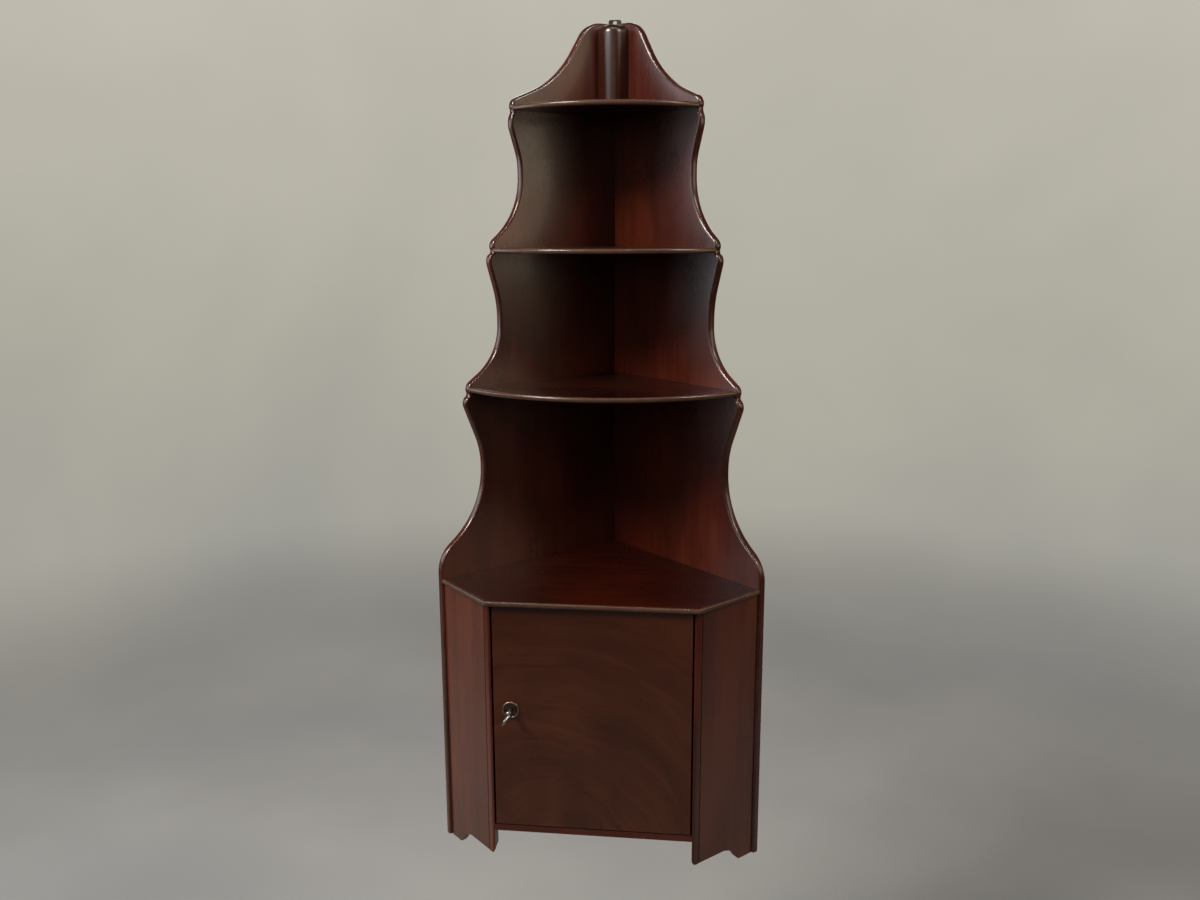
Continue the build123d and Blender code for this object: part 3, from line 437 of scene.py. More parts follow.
class Outline:
    """A flat line drawn with straight runs and arcs that keep its heading."""

    def __init__(self, start, heading=(0, 1)):
        self.points = [Vector(start)]
        self.heading = Vector(heading)

    @property
    def end(self):
        return self.points[-1]

    def line(self, end):
        run = Vector(end) - self.end
        if run.length > 0.001:
            self.heading = run.normalized()
            self.points.append(Vector(end))

    def turn(self, radius, sweep):
        """An arc that turns left by sweep degrees, or right where it is negative."""
        start, side = self.end, 1 if sweep > 0 else -1
        spoke = Vector((self.heading.y, -self.heading.x)) * radius * side
        centre = start - spoke
        steps = max(2, ceil(abs(sweep) / 3), ceil(radians(abs(sweep)) * radius / 4))
        for step in range(1, steps + 1):
            angle = radians(sweep) * step / steps
            self.points.append(centre + Matrix.Rotation(angle, 2) @ spoke)
        self.heading = Matrix.Rotation(radians(sweep), 2) @ self.heading

    def arc_to(self, end):
        """An arc that leaves along the heading and ends at a place."""
        chord = Vector(end) - self.end
        off = atan2(self.heading.cross(chord), self.heading.dot(chord))
        if abs(off) < 0.001:
            self.line(end)
        else:
            self.turn(chord.length / (2 * sin(abs(off))), degrees(2 * off))


def rounded(corners, rounds):
    """A closed flat outline with each corner rounded by its radius, if it has one."""
    loop = []
    for index, (corner, radius) in enumerate(zip(corners, rounds)):
        corner = Vector(corner)
        if not radius:
            loop.append(corner)
            continue
        before, after = Vector(corners[index - 1]), Vector(corners[(index + 1) % len(corners)])
        run_in, run_out = (corner - before).normalized(), (after - corner).normalized()
        ease = radius * tan(acos(max(-1, min(1, run_in.dot(run_out)))) / 2)
        bend = Outline(corner - run_in * ease, run_in)
        bend.arc_to(corner + run_out * ease)
        loop += bend.points
    return loop


def join_rings(bm, rings):
    """Faces between each ring of corners and the next."""
    for a, b in zip(rings, rings[1:]):
        for i in range(len(a)):
            j = (i + 1) % len(a)
            bm.faces.new((a[i], a[j], b[j], b[i]))


def eased_slab(name, loop, thick, place, holes=()):
    """A slab of a flat outline whose near and far arrises are eased by each corner's own radii.

    Each loop entry is (x, y, near radius, far radius) and may end with its own inset direction.
    A hole is (x, y, near radius, far radius, floor radius, depth): without a near radius it
    is sunk from the far face to a floor.
    """
    area = sum(a[0] * b[1] - b[0] * a[1] for a, b in zip(loop, loop[1:] + loop[:1]))
    if area < 0:
        loop = loop[::-1]
    count = len(loop)
    flat = [Vector(entry[:2]) for entry in loop]
    insets = []
    for index, here in enumerate(flat):
        if len(loop[index]) > 4:
            insets.append(Vector(loop[index][4]))
            continue
        run_in = (here - flat[index - 1]).normalized()
        run_out = (flat[(index + 1) % count] - here).normalized()
        left_in, left_out = (Vector((-run.y, run.x)) for run in (run_in, run_out))
        insets.append((left_in + left_out) / max(0.35, 1 + left_in.dot(left_out)))
    bm = bmesh.new()
    arris_layer = bm.verts.layers.float.new("arris")

    def vert(x, y, depth, arris=0.0):
        made = bm.verts.new(place(x, y, depth))
        made[arris_layer] = arris
        return made

    rings = []
    turns = [step * pi / 2 / EASE_STEPS for step in range(EASE_STEPS + 1)]
    near = [(0, SUPPORT)] + [(angle, 0) for angle in turns]
    for far, spec in ((False, near), (True, near[::-1])):
        for angle, extra in spec:
            ring = []
            for index, here in enumerate(flat):
                radius = loop[index][3 if far else 2]
                spot = here + insets[index] * (radius * (1 - sin(angle)) + extra)
                sunk = radius * (1 - cos(angle))
                # The arris share peaks half way round an eased edge, or at a bull-nose's front, where
                # the mahogany lays its edge tone and lighter patches, partly a painted highlight.
                bull_nosed = loop[index][2] + loop[index][3] > 0.85 * thick
                arris = sin(angle if bull_nosed else 2 * angle) * min(1, radius / 1.5)
                ring.append(vert(spot.x, spot.y, thick - sunk if far else sunk, arris))
            rings.append(ring)
    join_rings(bm, rings)
    near_loops, far_loops = [rings[0]], [rings[-1]]
    for x, y, near_radius, far_radius, floor_radius, depth in holes:
        def circle(radius, at):
            return [vert(x + radius * cos(turn), y + radius * sin(turn), at)
                    for turn in (2 * pi * step / HOLE_STEPS for step in range(HOLE_STEPS))]
        top = circle(far_radius, thick)
        low = circle(near_radius or floor_radius, 0 if near_radius else thick - depth)
        join_rings(bm, [top, low])
        far_loops.append(top)
        if near_radius:
            near_loops.append(low)
        else:
            bm.faces.new(low)
    for loops in (near_loops, far_loops):
        line = [corner for ring in loops for corner in ring]
        for triangle in tessellate_polygon([[corner.co for corner in ring] for ring in loops]):
            bm.faces.new([line[index] for index in triangle])
    return to_mesh(name, bm)


def cut_away(mesh, cutter):
    """A mesh less another one, both in metres."""
    whole, tool = linked("whole", mesh), linked("tool", cutter)
    change = whole.modifiers.new("cut", "BOOLEAN")
    change.object, change.operation, change.solver = tool, "DIFFERENCE", "MANIFOLD"
    graph = bpy.context.evaluated_depsgraph_get()
    left = bpy.data.meshes.new_from_object(whole.evaluated_get(graph))
    left.name = mesh.name
    for thing in (whole, tool):
        bpy.data.objects.remove(thing)
    return smoothed(left)


def sharp_loop(points):
    """A cutter's flat outline, with no arris eased."""
    return [(point.x, point.y, 0, 0) for point in points]


def block_mesh(name, low, high):
    """A plain cutter between two corners, in millimetres."""
    bm = bmesh.new()
    bmesh.ops.create_cube(bm, size=1)
    for corner in bm.verts:
        corner.co = [a if way < 0 else b for way, a, b in zip(corner.co, low, high)]
    return to_mesh(name, bm)


def turned(profile, axis_place, steps=96):
    """A closed profile of (out from the axis, along the axis) spun about a level line toward -Y."""
    bm = bmesh.new()
    rows = []
    for radius, along in profile:
        row = []
        for step in range(steps if radius > 0.001 else 1):
            angle = 2 * pi * step / steps
            row.append(bm.verts.new((axis_place[0] + radius * cos(angle), axis_place[1] - along,
                                     axis_place[2] + radius * sin(angle))))
        rows.append(row)
    for a, b in zip(rows, rows[1:]):
        for step in range(steps):
            after = (step + 1) % steps
            corners = [a[step % len(a)], a[after % len(a)], b[after % len(b)], b[step % len(b)]]
            kept = list(dict.fromkeys(corners))
            if len(kept) > 2:
                bm.faces.new(kept)
    return bm


# Back boards

def lean(angle):
    """Direction up a board's face that leans toward the rear corner by angle."""
    return Vector((-sin(radians(angle)), cos(radians(angle))))


def meeting(start, start_lean, end, end_lean):
    """Where the line up from start meets the line down from end."""
    first, second = lean(start_lean), lean(end_lean)
    return start + first * ((end - start).cross(second) / first.cross(second))


def eased_run(edge, places, eases):
    """Straight lines through places, with each inner corner rounded back by its ease."""
    here = places[0]
    for corner, after, ease in zip(places[1:], places[2:], eases):
        run_in, run_out = (corner - here).normalized(), (after - corner).normalized()
        edge.line(corner - run_in * ease)
        edge.arc_to(corner + run_out * ease)
        here = corner + run_out * ease
    edge.line(places[-1])


def ogee(edge, end, share):
    """Two arcs, upright at both ends, that change sides at a share of the way."""
    edge.arc_to(edge.end + (Vector(end) - edge.end) * share)
    edge.arc_to(end)


def bay_edge(edge, round_size, bay, reach, top_z):
    """One bay of the waterfall edge: sweep in to the waist, rise to the nose, notch and lip."""
    nose = Vector((reach + NOSE_STEPS[bay], top_z - NOSE_DROPS[bay]))
    notch = Vector((reach - NOTCH_DEPTH, top_z - NOTCH_DROPS[bay]))
    rise, sweep = -RISE_LEANS[bay], SWEEP_LEANS[bay]
    edge.turn(round_size, sweep)
    start = edge.end
    nose_start = nose - Vector((1 - lean(rise).y, lean(rise).x)) * NOSE_ROUNDS[bay]
    upright = Vector((reach - WAIST_DEPTHS[bay], nose_start.y))
    low_bend = meeting(start, sweep, upright, 0)
    high_bend = meeting(upright, 0, nose_start, rise)
    gap = high_bend.y - low_bend.y
    sweep_share, rise_share = WAIST_SHARES[bay]
    eases = (min(sweep_share * gap, 0.95 * (low_bend - start).length), rise_share * gap)
    eased_run(edge, [start, low_bend, high_bend, nose_start], eases)
    edge.turn(NOSE_ROUNDS[bay], -rise)
    ogee(edge, notch, NOSE_CAP_SHARE)
    ogee(edge, notch + Vector((NOTCH_DEPTH, LIP_RISE)), LIP_SHARE)


def waterfall_edge():
    """The front edge of a back board from its foot to its crown, as (reach, height)."""
    edge = Outline((BOARD_REACH, FOOT_Z))
    edge.line((BOARD_REACH, CUPBOARD_Z + SHOULDER_RISE))
    round_size = SHOULDER_ROUND
    for bay, (reach, top_z) in enumerate(SHELF_PLACES):
        bay_edge(edge, round_size, bay, reach, top_z)
        round_size = LIP_ROUND
    edge.turn(LIP_ROUND, CROWN_SWEEP)
    start, edge_lean = edge.end, lean(CROWN_LEAN)
    crown_start = Vector((CROWN_REACH, BOARD_TOP_Z - CROWN_ROUND))
    crown_start += Vector((edge_lean.y, -edge_lean.x)) * CROWN_ROUND
    bend = meeting(start, CROWN_SWEEP, crown_start, CROWN_LEAN)
    runs = [(bend - start).length, (crown_start - bend).length]
    eased_run(edge, [start, bend, crown_start], [CROWN_EASE_SHARE * min(runs)])
    edge.turn(CROWN_ROUND, 90 - CROWN_LEAN)
    return edge.points


def wall_place(side):
    """Turns (reach, height, out) on a back board into a place."""
    def place(reach, z, out):
        return (side * DIAGONAL * (reach + out), CORNER_Y - DIAGONAL * (reach - out), z)
    return place


def screw_heads(side):
    """(reach, height) of the board screws' heads."""
    ends = [(share * (reach - HOUSING_STOP), top_z - thick / 2)
            for reach, top_z, thick in BOARD_ENDS for share in (0.3, 0.72)]
    middle = (SHELF_PLACES[2][1] + BLOCK_TOP_Z) / 2 + 5.6 * side
    ends += [(BLOCK_LEG / 2, middle + way * 26) for way in (-1, 1)]
    return ends


def corner_screw_heads():
    """(reach, height) of the heads of the screws through the left board."""
    return [(-BOARD_THICK / 2, FOOT_Z + share * BOARD_HEIGHT) for share in CORNER_SCREW_SHARES]


def back_board(name, side, rear_reach, timber):
    """A back board with its eased waterfall edge, and screw holes sunk from behind."""
    front = waterfall_edge()
    loop = [(BOARD_REACH - 6, FOOT_Z, 0.3, 0.3)]
    loop += [(point.x, point.y, BOARD_ARRIS, BOARD_ARRIS) for point in front]
    loop += [(CROWN_REACH - 6, BOARD_TOP_Z, 1.2, 1.2), (rear_reach, BOARD_TOP_Z, 0.3, 0.3),
             (rear_reach, FOOT_Z, 0.3, 0.3)]
    places = screw_heads(side)
    if side == LEFT:
        places += corner_screw_heads()
    holes = [(x, y, *SINKING) for x, y in places]
    mesh = eased_slab(name, loop, BOARD_THICK, wall_place(side), holes)
    planed = block_mesh("planed_corner", (-40, -1.1, PLATE_FOOT_Z - 0.1), (40, 40, 20))
    return dressed(name, cut_away(mesh, planed), upright_wood, timber)


# Pieces grown by geometry nodes

def shape_tree(name, sizes):
    """An empty geometry tree with named inputs."""
    geometry = ("Geometry", "NodeSocketGeometry")
    return new_tree(name, "GeometryNodeTree", [(*geometry, None), *sizes], [geometry])


def grown(name, tree, source, values):
    """The plain mesh that a geometry tree makes from a source and its input values."""
    seed = linked(name, source)
    modifier = seed.modifiers.new("shape", "NODES")
    modifier.node_group = tree
    sockets = {item.name: item.identifier for item in tree.interface.items_tree
               if item.item_type == "SOCKET" and item.in_out == "INPUT"}
    for label, value in values.items():
        modifier[sockets[label]] = value
    graph = bpy.context.evaluated_depsgraph_get()
    mesh = bpy.data.meshes.new_from_object(seed.evaluated_get(graph))
    mesh.name = name
    bpy.data.objects.remove(seed)
    return mesh


def along_z(add, length):
    """A vector of a length along Z."""
    return add("ShaderNodeCombineXYZ", {2: length}).outputs[0]


def shifted(add, geometry, by):
    """Geometry moved by a vector."""
    return add("GeometryNodeTransform", {"Geometry": geometry, "Translation": by})


def finish_tree(tree, add, geometry, material, leave):
    """Ends a tree with real geometry in its material."""
    whole = add("GeometryNodeRealizeInstances", {"Geometry": geometry})
    coated = add("GeometryNodeSetMaterial", {"Geometry": whole, "Material": material})
    fill(tree, leave, {0: coated})
    return tree


def bowed_shelf_tree():
    """A shelf section swept round the inner corner between the two boards."""
    tree, add, given, leave = shape_tree("bowed shelf", [
        ("Reach", FLOAT, 0.15), ("Start", FLOAT, 0.0), ("Sweep", FLOAT, pi / 2),
        ("Steps", "NodeSocketInt", 96), ("Nose", FLOAT, 0.003), ("Corner", VECTOR, (0, 0, 0)),
        ("Material", "NodeSocketMaterial", None)])
    path = add("GeometryNodeCurveArc", {"Resolution": given["Steps"], "Radius": given["Reach"],
                                        "Start Angle": given["Start"], "Sweep Angle": given["Sweep"]})
    body = add("GeometryNodeCurveToMesh", {"Curve": path.outputs["Curve"],
                                           "Profile Curve": given["Geometry"], "Fill Caps": True})
    merged = add("GeometryNodeMergeByDistance", {"Geometry": body, "Distance": 0.00001})
    far = plan_distance(add, add("GeometryNodeInputPosition").outputs[0])
    start = maths(add, "SUBTRACT", given["Reach"], given["Nose"])
    hump = maths(add, "SINE", product(add, span(add, far, start, given["Reach"]), pi / 2))
    eased = add("GeometryNodeStoreNamedAttribute", {"Geometry": merged, "Name": "arris",
                                                    "Value": hump}, data_type="FLOAT", domain="POINT")
    outward = add("GeometryNodeFlipFaces", {"Mesh": eased})
    moved = shifted(add, outward, given["Corner"])
    return finish_tree(tree, add, moved, given["Material"], leave)


def shelf_section(name, reach, top_z):
    """The closed section of a shelf, from its bull-nose at the path back to the corner."""
    radius = BULLNOSE_SHARE * SHELF_THICK
    corners = [(-reach + 0.2, top_z - SHELF_THICK), (0, top_z - SHELF_THICK), (0, top_z),
               (-reach + 0.2, top_z)]
    loop = rounded(corners, [0, radius, radius, 0])
    low, high = (Vector((-radius - SUPPORT, z)) for z in (top_z - SHELF_THICK, top_z))
    loop = [loop[0], low, *loop[1:-1], high, loop[-1]]
    curve = bpy.data.curves.new(name, "CURVE")
    curve.dimensions = "3D"
    spline = curve.splines.new("POLY")
    spline.points.add(len(loop) - 1)
    for point, (x, y) in zip(spline.points, loop):
        point.co = (x * MM, -y * MM, 0, 1)
    spline.use_cyclic_u = True
    return curve


def slotted_screw_tree():
    """Countersunk screws with a slot, one at each vertex, each turned its own way."""
    tree, add, given, leave = shape_tree("slotted screw", [
        ("Shank Radius", FLOAT, 0.0014), ("Head Radius", FLOAT, 0.0029), ("Length", FLOAT, 0.024),
        ("Slot Width", FLOAT, 0.0007), ("Slot Depth", FLOAT, 0.0008), ("Way", VECTOR, (0, 0, 1)),
        ("Seed", "NodeSocketInt", 3), ("Material", "NodeSocketMaterial", None)])
    head_depth = maths(add, "SUBTRACT", given["Head Radius"], given["Shank Radius"])
    head = add("GeometryNodeMeshCone", {"Vertices": 48, "Radius Top": given["Head Radius"],
                                        "Radius Bottom": given["Shank Radius"], "Depth": head_depth})
    head = shifted(add, head, along_z(add, product(add, head_depth, -1.0)))
    shank_length = maths(add, "SUBTRACT", given["Length"], head_depth)
    shank = add("GeometryNodeMeshCylinder", {"Vertices": 32, "Radius": given["Shank Radius"],
                                             "Depth": shank_length})
    middle = product(add, total(add, given["Length"], head_depth), -0.5)
    shank = shifted(add, shank, along_z(add, middle))
    slot_size = add("ShaderNodeCombineXYZ", {0: product(add, given["Head Radius"], 3.0),
                                             1: given["Slot Width"],
                                             2: product(add, given["Slot Depth"], 2.0)})
    slot = add("GeometryNodeMeshCube", {"Size": slot_size})
    cut = add("GeometryNodeMeshBoolean", {"Mesh 1": head, "Mesh 2": slot},
              operation="DIFFERENCE")
    screw = add("GeometryNodeJoinGeometry")
    for made in (cut, shank):
        tree.links.new(made.outputs[0], screw.inputs[0])
    points = add("GeometryNodeMeshToPoints", {"Mesh": given["Geometry"]})
    aim = add("FunctionNodeAlignRotationToVector", {"Vector": given["Way"]}, axis="Z")
    slot_turn = add("FunctionNodeRandomValue", {"Min": 0.0, "Max": pi, "Seed": given["Seed"]},
                    data_type="FLOAT")
    own_turn = along_z(add, slot_turn.outputs["Value"])
    turned_aim = add("FunctionNodeRotateRotation",
                     {"Rotation": aim, "Rotate By": own_turn}, rotation_space="LOCAL")
    copies = add("GeometryNodeInstanceOnPoints",
                 {"Points": points, "Instance": screw, "Rotation": turned_aim})
    return finish_tree(tree, add, copies, given["Material"], leave)


# Block, cupboard top, cants and posts

def level_place(top_z):
    """Turns (x, y, drop) into a place below a top face."""
    return lambda x, y, drop: (x, y, top_z - drop)


def wall_point(side, reach, out):
    """Plan place at a reach along a board, moved out through the board's inner face."""
    return Vector((side * DIAGONAL * (reach + out), CORNER_Y - DIAGONAL * (reach - out)))


def along_wall(side):
    """Plan direction along a board toward the inner corner."""
    return Vector((-side * DIAGONAL, DIAGONAL))


def corner_block():
    """The quarter-round block of the pediment with its domed top."""
    low_z = SHELF_PLACES[2][1] - 0.1
    tip = Vector((0, CORNER_Y - 2 * DIAGONAL * BLOCK_LEG))
    right, left = (wall_point(side, BLOCK_LEG, 0.3) for side in (RIGHT, LEFT))
    bend = rounded([left, tip, right], [0, BLOCK_ROUND, 0])
    loop = [(0, CORNER_Y + 0.3, 0, 0, (0, 0)), (*left, BLOCK_DOME, 0.1, along_wall(LEFT))]
    loop += [(point.x, point.y, BLOCK_DOME, 0.1) for point in bend[1:-1]]
    loop += [(*right, BLOCK_DOME, 0.1, along_wall(RIGHT))]
    mesh = eased_slab("corner_block_domed", loop, BLOCK_TOP_Z - low_z, level_place(BLOCK_TOP_Z))
    return dressed("corner_block_domed", mesh, block_wood, 4.0)


def cupboard_top():
    """The five-sided top of the cupboard with its bull-nosed front and canted edges."""
    radius = BULLNOSE_SHARE * TOP_THICK
    front_y = CORNER_Y - FRONT_DEPTH - TOP_FRONT_OVERHANG
    half = CORNER_HALF + TOP_CANT_OVERHANG
    loop = [(0, CORNER_Y + 0.3, 0, 0, (0, 0))]
    for side, corners in ((LEFT, (0, 1)), (RIGHT, (1, 0))):
        tip = wall_point(side, BOARD_REACH - TOP_TIP_GAP, TIP_SUNK)
        pair = [(*tip, radius, radius, along_wall(side)), (side * half, front_y, radius, radius)]
        loop += [pair[index] for index in corners]
    mesh = eased_slab("bull_nosed_cupboard_top", loop, TOP_THICK, level_place(CUPBOARD_Z))
    recess = Outline((PIVOT_X - LEAF_LENGTH, PIVOT_Y - LEAF_HALF))
    recess.line((PIVOT_X, PIVOT_Y - LEAF_HALF))
    recess.turn(LEAF_HALF, 180)
    recess.line((PIVOT_X - LEAF_LENGTH, PIVOT_Y + LEAF_HALF))
    pin_hole = Outline((PIVOT_X, PIVOT_Y - PIN_RADIUS), (1, 0))
    pin_hole.turn(PIN_RADIUS, 360)
    for outline, deep in ((recess.points, LEAF_DEEP), (pin_hole.points[1:], PIN_DEEP)):
        cutter = eased_slab("recess", sharp_loop(outline), deep + 1,
                            level_place(TOP_UNDER_Z + deep))
        mesh = cut_away(mesh, cutter)
    return dressed("bull_nosed_cupboard_top", mesh, shaded_level_wood, 7.0)


def cant_place(side):
    """Turns (run, height, inward) on a canted panel into a place."""
    def place(run, z, inward):
        reach = CANT_REACH - inward
        return (side * DIAGONAL * (reach - run), CORNER_Y - DIAGONAL * (reach + run), z)
    return place


def smooth_line(places, steps=6):
    """A curve through places with level ends, in the manner of a bent batten."""
    places = [Vector(place) for place in places]
    slopes = [Vector((1, 0)) * (places[1] - places[0]).length]
    slopes += [(after - before) / 2 for before, after in zip(places, places[2:])]
    slopes += [Vector((1, 0)) * (places[-1] - places[-2]).length]
    line = []
    for (a, b), (p, q) in zip(zip(places, places[1:]), zip(slopes, slopes[1:])):
        for step in range(steps):
            t = step / steps
            line.append(a * (2 * t ** 3 - 3 * t ** 2 + 1) + p * (t ** 3 - 2 * t ** 2 + t)
                        + b * (3 * t ** 2 - 2 * t ** 3) + q * (t ** 3 - t ** 2))
    return line + [places[-1]]


def cant_panel(name, side, timber):
    """A canted side panel with its scalloped lower edge."""
    scallop = [(FOOT_WIDTH, FOOT_Z)]
    scallop += [(FOOT_WIDTH + run * OGEE_RUN, FOOT_Z + rise * APRON_RISE) for run, rise in OGEE_SHARES]
    scallop += [(FOOT_WIDTH + OGEE_RUN, APRON_Z)]
    line = [(-0.5, FOOT_Z), *smooth_line(scallop), (POST_RUN, APRON_Z)]
    loop = [(x, y, 0.5, 0.3) for x, y in line]
    loop += [(POST_RUN, TOP_UNDER_Z, QUIRK, 0.1), (-0.5, TOP_UNDER_Z, 0.2, 0.1)]
    x, y, _, far = loop[-3]
    loop[-3] = (x, y, QUIRK, far)
    mesh = eased_slab(name, loop, CANT_THICK, cant_place(side))
    return dressed(name, mesh, cant_wood, timber)


def front_post(name, side, timber):
    """A front post with its rounded nose, quirk and rounded toe."""
    def cant_spot(run, inward):
        return Vector(cant_place(side)(run, 0, inward)[:2])
    seam, rear = cant_spot(POST_RUN, 0), cant_spot(POST_RUN, CANT_THICK + 0.1)
    post_back_y = cant_spot(POST_RUN - POST_LAP, CANT_THICK)[1]
    corners = [(side * OPENING_HALF, FRONT_Y), (side * CORNER_HALF, FRONT_Y),
               seam + (Vector((side * CORNER_HALF, FRONT_Y)) - seam).normalized() * QUIRK,
               seam + (rear - seam).normalized() * QUIRK, rear,
               cant_spot(POST_RUN - POST_LAP, CANT_THICK + 0.1), (side * OPENING_HALF, post_back_y)]
    loop = [(point.x, point.y, 0.1, 0.4)
            for point in rounded(corners, [POST_ARRIS, POST_ROUND, 0.25, 0.25, 0, 0, 0.3])]
    mesh = eased_slab(name, loop, TOP_UNDER_Z - APRON_Z, level_place(TOP_UNDER_Z))
    inner, toe = OPENING_HALF, Outline((side * (OPENING_HALF + POST_TOE), APRON_Z), (-side, 0))
    toe.turn(POST_TOE, -90 * side)
    wedge = [*toe.points, Vector((side * (inner - 2), APRON_Z + POST_TOE)),
             Vector((side * (inner - 2), APRON_Z - 2)),
             Vector((side * (inner + POST_TOE), APRON_Z - 2))]
    cutter = eased_slab("toe", sharp_loop(wedge), 40,
                        lambda x, z, back: (x, FRONT_Y - 5 + back, z))
    mesh = cut_away(mesh, cutter)
    if side == LEFT:
        mesh = cut_away(mesh, block_mesh("mortise", *MORTISE))
    return dressed(name, mesh, upright_wood, timber)


# Metal pieces

def hanging_plate():
    """The rounded plate with its hole and two countersunk holes."""
    corners = [(-PLATE_HALF, PLATE_FOOT_Z), (PLATE_HALF, PLATE_FOOT_Z), (PLATE_HALF, PLATE_ABOVE),
               (-PLATE_HALF, PLATE_ABOVE)]
    loop = [(point.x, point.y, 0.35, 0.35) for point in rounded(corners, [PLATE_ROUND] * 4)]
    holes = [(0, 0, HANGING_RADIUS, HANGING_RADIUS, 0, 0)]
    holes += [(0, z, 1.75, 3.45, 0, 0) for z in HANGER_SCREW_Z]
    mesh = eased_slab("worn_hanging_plate", loop, PLATE_THICK,
                      lambda x, z, back: (x, back - PLATE_THICK / 2, z), holes)
    return dressed("worn_hanging_plate", mesh, iron)


def ring_profile():
    """Half section of the dished escutcheon: (out from its axis, forward of the door)."""
    rim = Outline((ROSE_RADIUS, 0), (0, 1))
    rim.line((ROSE_RADIUS, 0.9))
    rim.arc_to((ROSE_RADIUS - 0.95, ROSE_RIM))
    rim.arc_to((ROSE_RADIUS - 1.9, 1.2))
    dish = Outline(rim.end, (-0.35, -1))
    dish.arc_to((ROSE_RADIUS - 3.1, ROSE_PLATE))
    points = [(0, -2.5), (5, -2.5), (5, -0.02), *rim.points, *dish.points[1:]]
    return points + [(0, ROSE_PLATE)]


def escutcheon():
    """The small round dished plate, pierced by its keyhole."""
    bm = turned(ring_profile(), KEY_PLACE)
    mesh = to_mesh("dished_escutcheon", bm, 40)
    half, low = KEYHOLE_SLOT / 2, -KEYHOLE_DROP
    hole = Outline((-half, low))
    hole.line((-half, -(KEYHOLE_RADIUS ** 2 - half ** 2) ** 0.5))
    hole.heading = Vector((hole.end.y, -hole.end.x)).normalized()
    hole.turn(KEYHOLE_RADIUS, -360 + 2 * degrees(asin(half / KEYHOLE_RADIUS)))
    hole.line((half, low))
    cutter = eased_slab("keyhole", sharp_loop(hole.points), 12,
                        lambda x, z, back: (KEY_X + x, FRONT_Y - 5 + back, KEY_Z + z))
    return dressed("dished_escutcheon", cut_away(mesh, cutter), toned_brass)


def key():
    """Pipe key: turned shank and collar, oval ring bow and a bit with its ward cut."""
    tip = -13.1
    profile = [(1.3, tip + 10), (1.3, tip), (2.3, tip), (2.5, tip + 0.2), (2.5, 11.3), (2.75, 11.55),
               (3.5, 11.9), (3.8, 12.3), (3.85, 13.3), (3.8, 14.3), (3.5, 14.7), (2.9, 15.0),
               (2.3, 15.3), (2.0, 15.9), (1.9, 18), (2.0, 20.2), (1.6, 21.2), (0, 21.4)]
    profile = [(0, tip + 10)] + profile
    bm = turned(profile, KEY_PLACE, 64)
    across = Vector((sin(KEY_TURN), 0, cos(KEY_TURN)))
    aside = Vector((-cos(KEY_TURN), 0, sin(KEY_TURN)))
    centre, out = Vector((KEY_X, FRONT_Y - BOW_PLACE, KEY_Z)), Vector((0, -1, 0))
    rings = []
    for step in range(BOW_STEPS):
        angle = 2 * pi * step / BOW_STEPS
        spoke = out * cos(angle) * BOW_DEEP + across * sin(angle) * BOW_HIGH
        normal = (out * cos(angle) / BOW_DEEP + across * sin(angle) / BOW_HIGH).normalized()
        rings.append([bm.verts.new(centre + spoke + normal * BOW_WIRE[0] * cos(t)
                                   + aside * BOW_WIRE[1] * sin(t))
                      for t in (2 * pi * k / WIRE_STEPS for k in range(WIRE_STEPS))])
    join_rings(bm, rings + rings[:1])
    mesh = to_mesh("pipe_key", bm, 35)
    bit = [(-12.7, 1.5), (-12.7, -8), (-11.05, -8), (-11.05, -5.6), (-9.95, -5.6), (-9.95, -8),
           (-8.3, -8), (-8.3, 1.5)]

    def place(along, rise, depth):
        spot = Vector(KEY_PLACE) + out * along + across * rise
        return spot + aside * (depth - 1)
    bit_mesh = eased_slab("bit", [(x, y, 0.15, 0.15) for x, y in bit], 2, place)
    whole = bmesh.new()
    for part in (mesh, bit_mesh):
        whole.from_mesh(part)
        bpy.data.meshes.remove(part)
    return dressed("pipe_key", smoothed(written("pipe_key", whole), 35), steel)


# Making the pieces

def put(piece, body, slot, *stands_for):
    """A finished piece rides on its body and takes its nodes' place; its slot is not used."""
    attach(piece, body)
    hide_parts(*stands_for)


def put_wood(piece, node):
    """A wooden piece of the carcass, in place of its node."""
    put(piece, "carcass", "mahogany", node)


put_wood(back_board("left_waterfall_board", LEFT, -BOARD_THICK, 1.0), "left_back_board")
put_wood(back_board("right_waterfall_board", RIGHT, 0.1, 2.0), "right_back_board")
put_wood(corner_block(), "corner_block")
put_wood(cupboard_top(), "cupboard_top")
for side, word in SIDES:
    put_wood(cant_panel(f"{word}_scalloped_cant", side, 8.0 + side), f"{word}_cant_panel")
    put_wood(front_post(f"{word}_rounded_post", side, 12.0 + side), f"{word}_front_post")
put(hanging_plate(), "carcass", "steel", "hanging_plate")
put(escutcheon(), "door", "aged_brass", "escutcheon")
put(key(), "key", "steel", "key")

shelf_tree = bowed_shelf_tree()
for index, (reach, top_z) in enumerate(SHELF_PLACES):
    name = ("lower", "middle", "upper")[index] + "_bowed_shelf"
    sunk = 0.9 / reach
    mesh = grown(name, shelf_tree, shelf_section(name, reach, top_z), {
        "Reach": reach * MM, "Start": -3 * pi / 4 - sunk, "Sweep": pi / 2 + 2 * sunk, "Steps": 128,
        "Nose": BULLNOSE_SHARE * SHELF_THICK * MM,
        "Corner": (0, CORNER_Y * MM, 0), "Material": shaded_level_wood})
    put_wood(dressed(name, mesh, shaded_level_wood, 4.0 + 1.7 * index), name.replace("_bowed", ""))

screw_tree = slotted_screw_tree()


